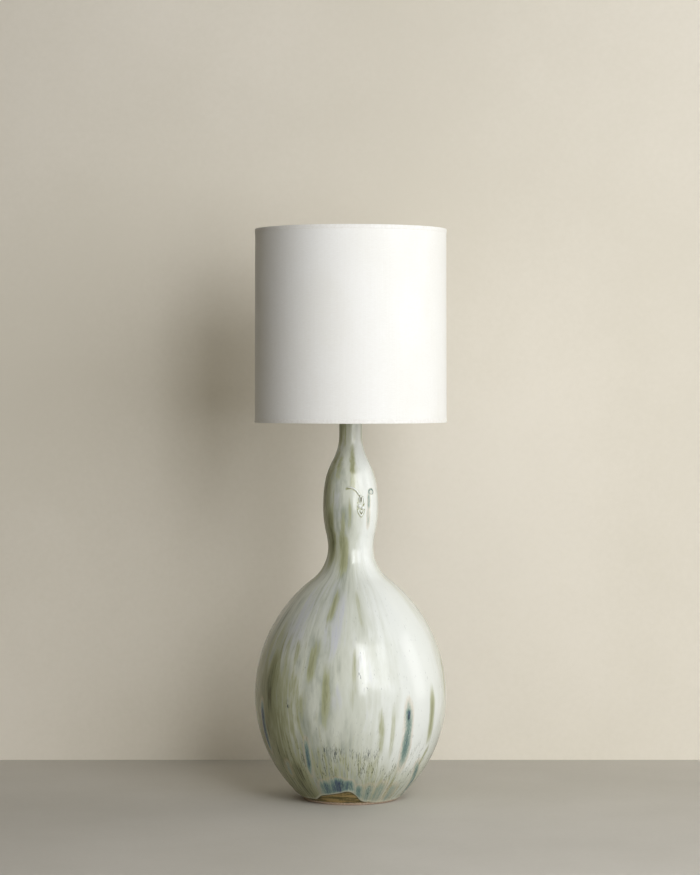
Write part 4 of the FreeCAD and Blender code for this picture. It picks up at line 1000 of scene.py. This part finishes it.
def stage_plane(name, corners, finish, polygons=((0, 1, 2, 3),)):
    """A flat part of the room, which isn't part of the lamp."""
    mesh = bpy.data.meshes.new(name)
    mesh.from_pydata(corners, [], list(polygons))
    mesh.materials.append(finish)
    plane = bpy.data.objects.new(name, mesh)
    bpy.context.scene.collection.objects.link(plane)


WALL_Y, LEFT, RIGHT, FRONT, TALL = 0.374, -3.2, 3.2, -5.0, 3.2
UNDER_FOOT, HOLE_SIDES = 0.0606, 64


def table_top():
    """The floor, open under the foot so that light reaches the recess when it's seen from below."""
    corners = [math.atan2(y, x) % (2 * math.pi) for x in (LEFT, RIGHT) for y in (FRONT, WALL_Y)]
    turns = sorted(corners + [2 * math.pi * step / HOLE_SIDES + 0.01 for step in range(HOLE_SIDES)])
    edge = []
    for turn in turns:
        x, y = math.cos(turn), math.sin(turn)
        to_side = (RIGHT if x > 0 else LEFT) / x if x else math.inf
        to_end = (WALL_Y if y > 0 else FRONT) / y if y else math.inf
        reach = min(to_side, to_end)
        edge.append((x * reach, y * reach, 0))
    points = [(UNDER_FOOT * math.cos(turn), UNDER_FOOT * math.sin(turn), 0) for turn in turns] + edge
    count = len(turns)
    sides = [(step, count + step, count + (step + 1) % count, (step + 1) % count) for step in range(count)]
    stage_plane("table_top", points, stage_finish(
        "table_paint", tint(193, 190, 181), tint(203, 200, 192), 2.2, 0.6), sides)


table_top()
stage_plane("backdrop", [(LEFT, WALL_Y, 0), (RIGHT, WALL_Y, 0), (RIGHT, WALL_Y, TALL), (LEFT, WALL_Y, TALL)],
            stage_finish("wall_paint", tint(231, 225, 209), tint(241, 235, 221), 1.6, 0.75))


LAMPS_AIM = Vector((0, 0, 0.3))


def softbox(name, azimuth, elevation, distance, width, tall, power, colour):
    """A soft rectangular lamp that faces the middle of the body."""
    light = bpy.data.lights.new(name, "AREA")
    light.shape, light.size, light.size_y = "RECTANGLE", width, tall
    light.energy, light.color = power, colour
    lamp = bpy.data.objects.new(name, light)
    turn, rise = math.radians(azimuth), math.radians(elevation)
    back = Vector((math.sin(turn) * math.cos(rise), -math.cos(turn) * math.cos(rise), math.sin(rise)))
    lamp.location = LAMPS_AIM + back * distance
    lamp.rotation_mode = "QUATERNION"
    lamp.rotation_quaternion = (-back).to_track_quat("-Z", "Y")
    lamp.visible_camera = False
    bpy.context.scene.collection.objects.link(lamp)


softbox("window_light", 32, 19, 2.4, 1.35, 1.5, 18.2, (0.98, 0.99, 1.025))
softbox("window_haze", 38, 22, 2.4, 2.3, 2.3, 16.3, (0.98, 0.99, 1.025))
softbox("window_edge", 14, 19, 2.4, 0.46, 1.8, 13.1, (0.97, 0.99, 1.04))
softbox("front_fill", 3, 26, 3.2, 3.0, 2.2, 9.4, (1.0, 0.895, 0.72))
softbox("under_light", 0, -72, 1.0, 0.5, 0.5, 1.6, (1.0, 0.98, 0.95))
softbox("right_fill", 92, 12, 2.6, 1.2, 1.8, 11.0, (1.0, 0.99, 0.97))

world = bpy.data.worlds.new("room")
bpy.context.scene.world = world
room = Nodes(world)
seen = room.node("LightPath", out="Is Camera Ray").most(
    room.node("LightPath", out="Is Glossy Ray")).most(room.node("LightPath", out="Is Transmission Ray"))
glow = room.node("Background", None, {"Color": (1.0, 0.84, 0.62), "Strength": 0.035})
pale = room.node("Background", None, {"Color": tint(206, 199, 188), "Strength": 0.9})
room.node("OutputWorld", None, {"Surface": room.node("MixShader", None, {0: seen, 1: glow, 2: pale})})

camera_data = bpy.data.cameras.new("camera")
camera_data.lens = 111.1
camera_data.sensor_width = 36.0
camera = bpy.data.objects.new("camera", camera_data)
camera.location = (-0.00095, -3.672, 0.566)
camera.rotation_euler = (math.radians(90 - 1.156), 0, 0)
bpy.context.scene.collection.objects.link(camera)
bpy.context.scene.camera = camera
bpy.context.scene.view_settings.view_transform = "Standard"
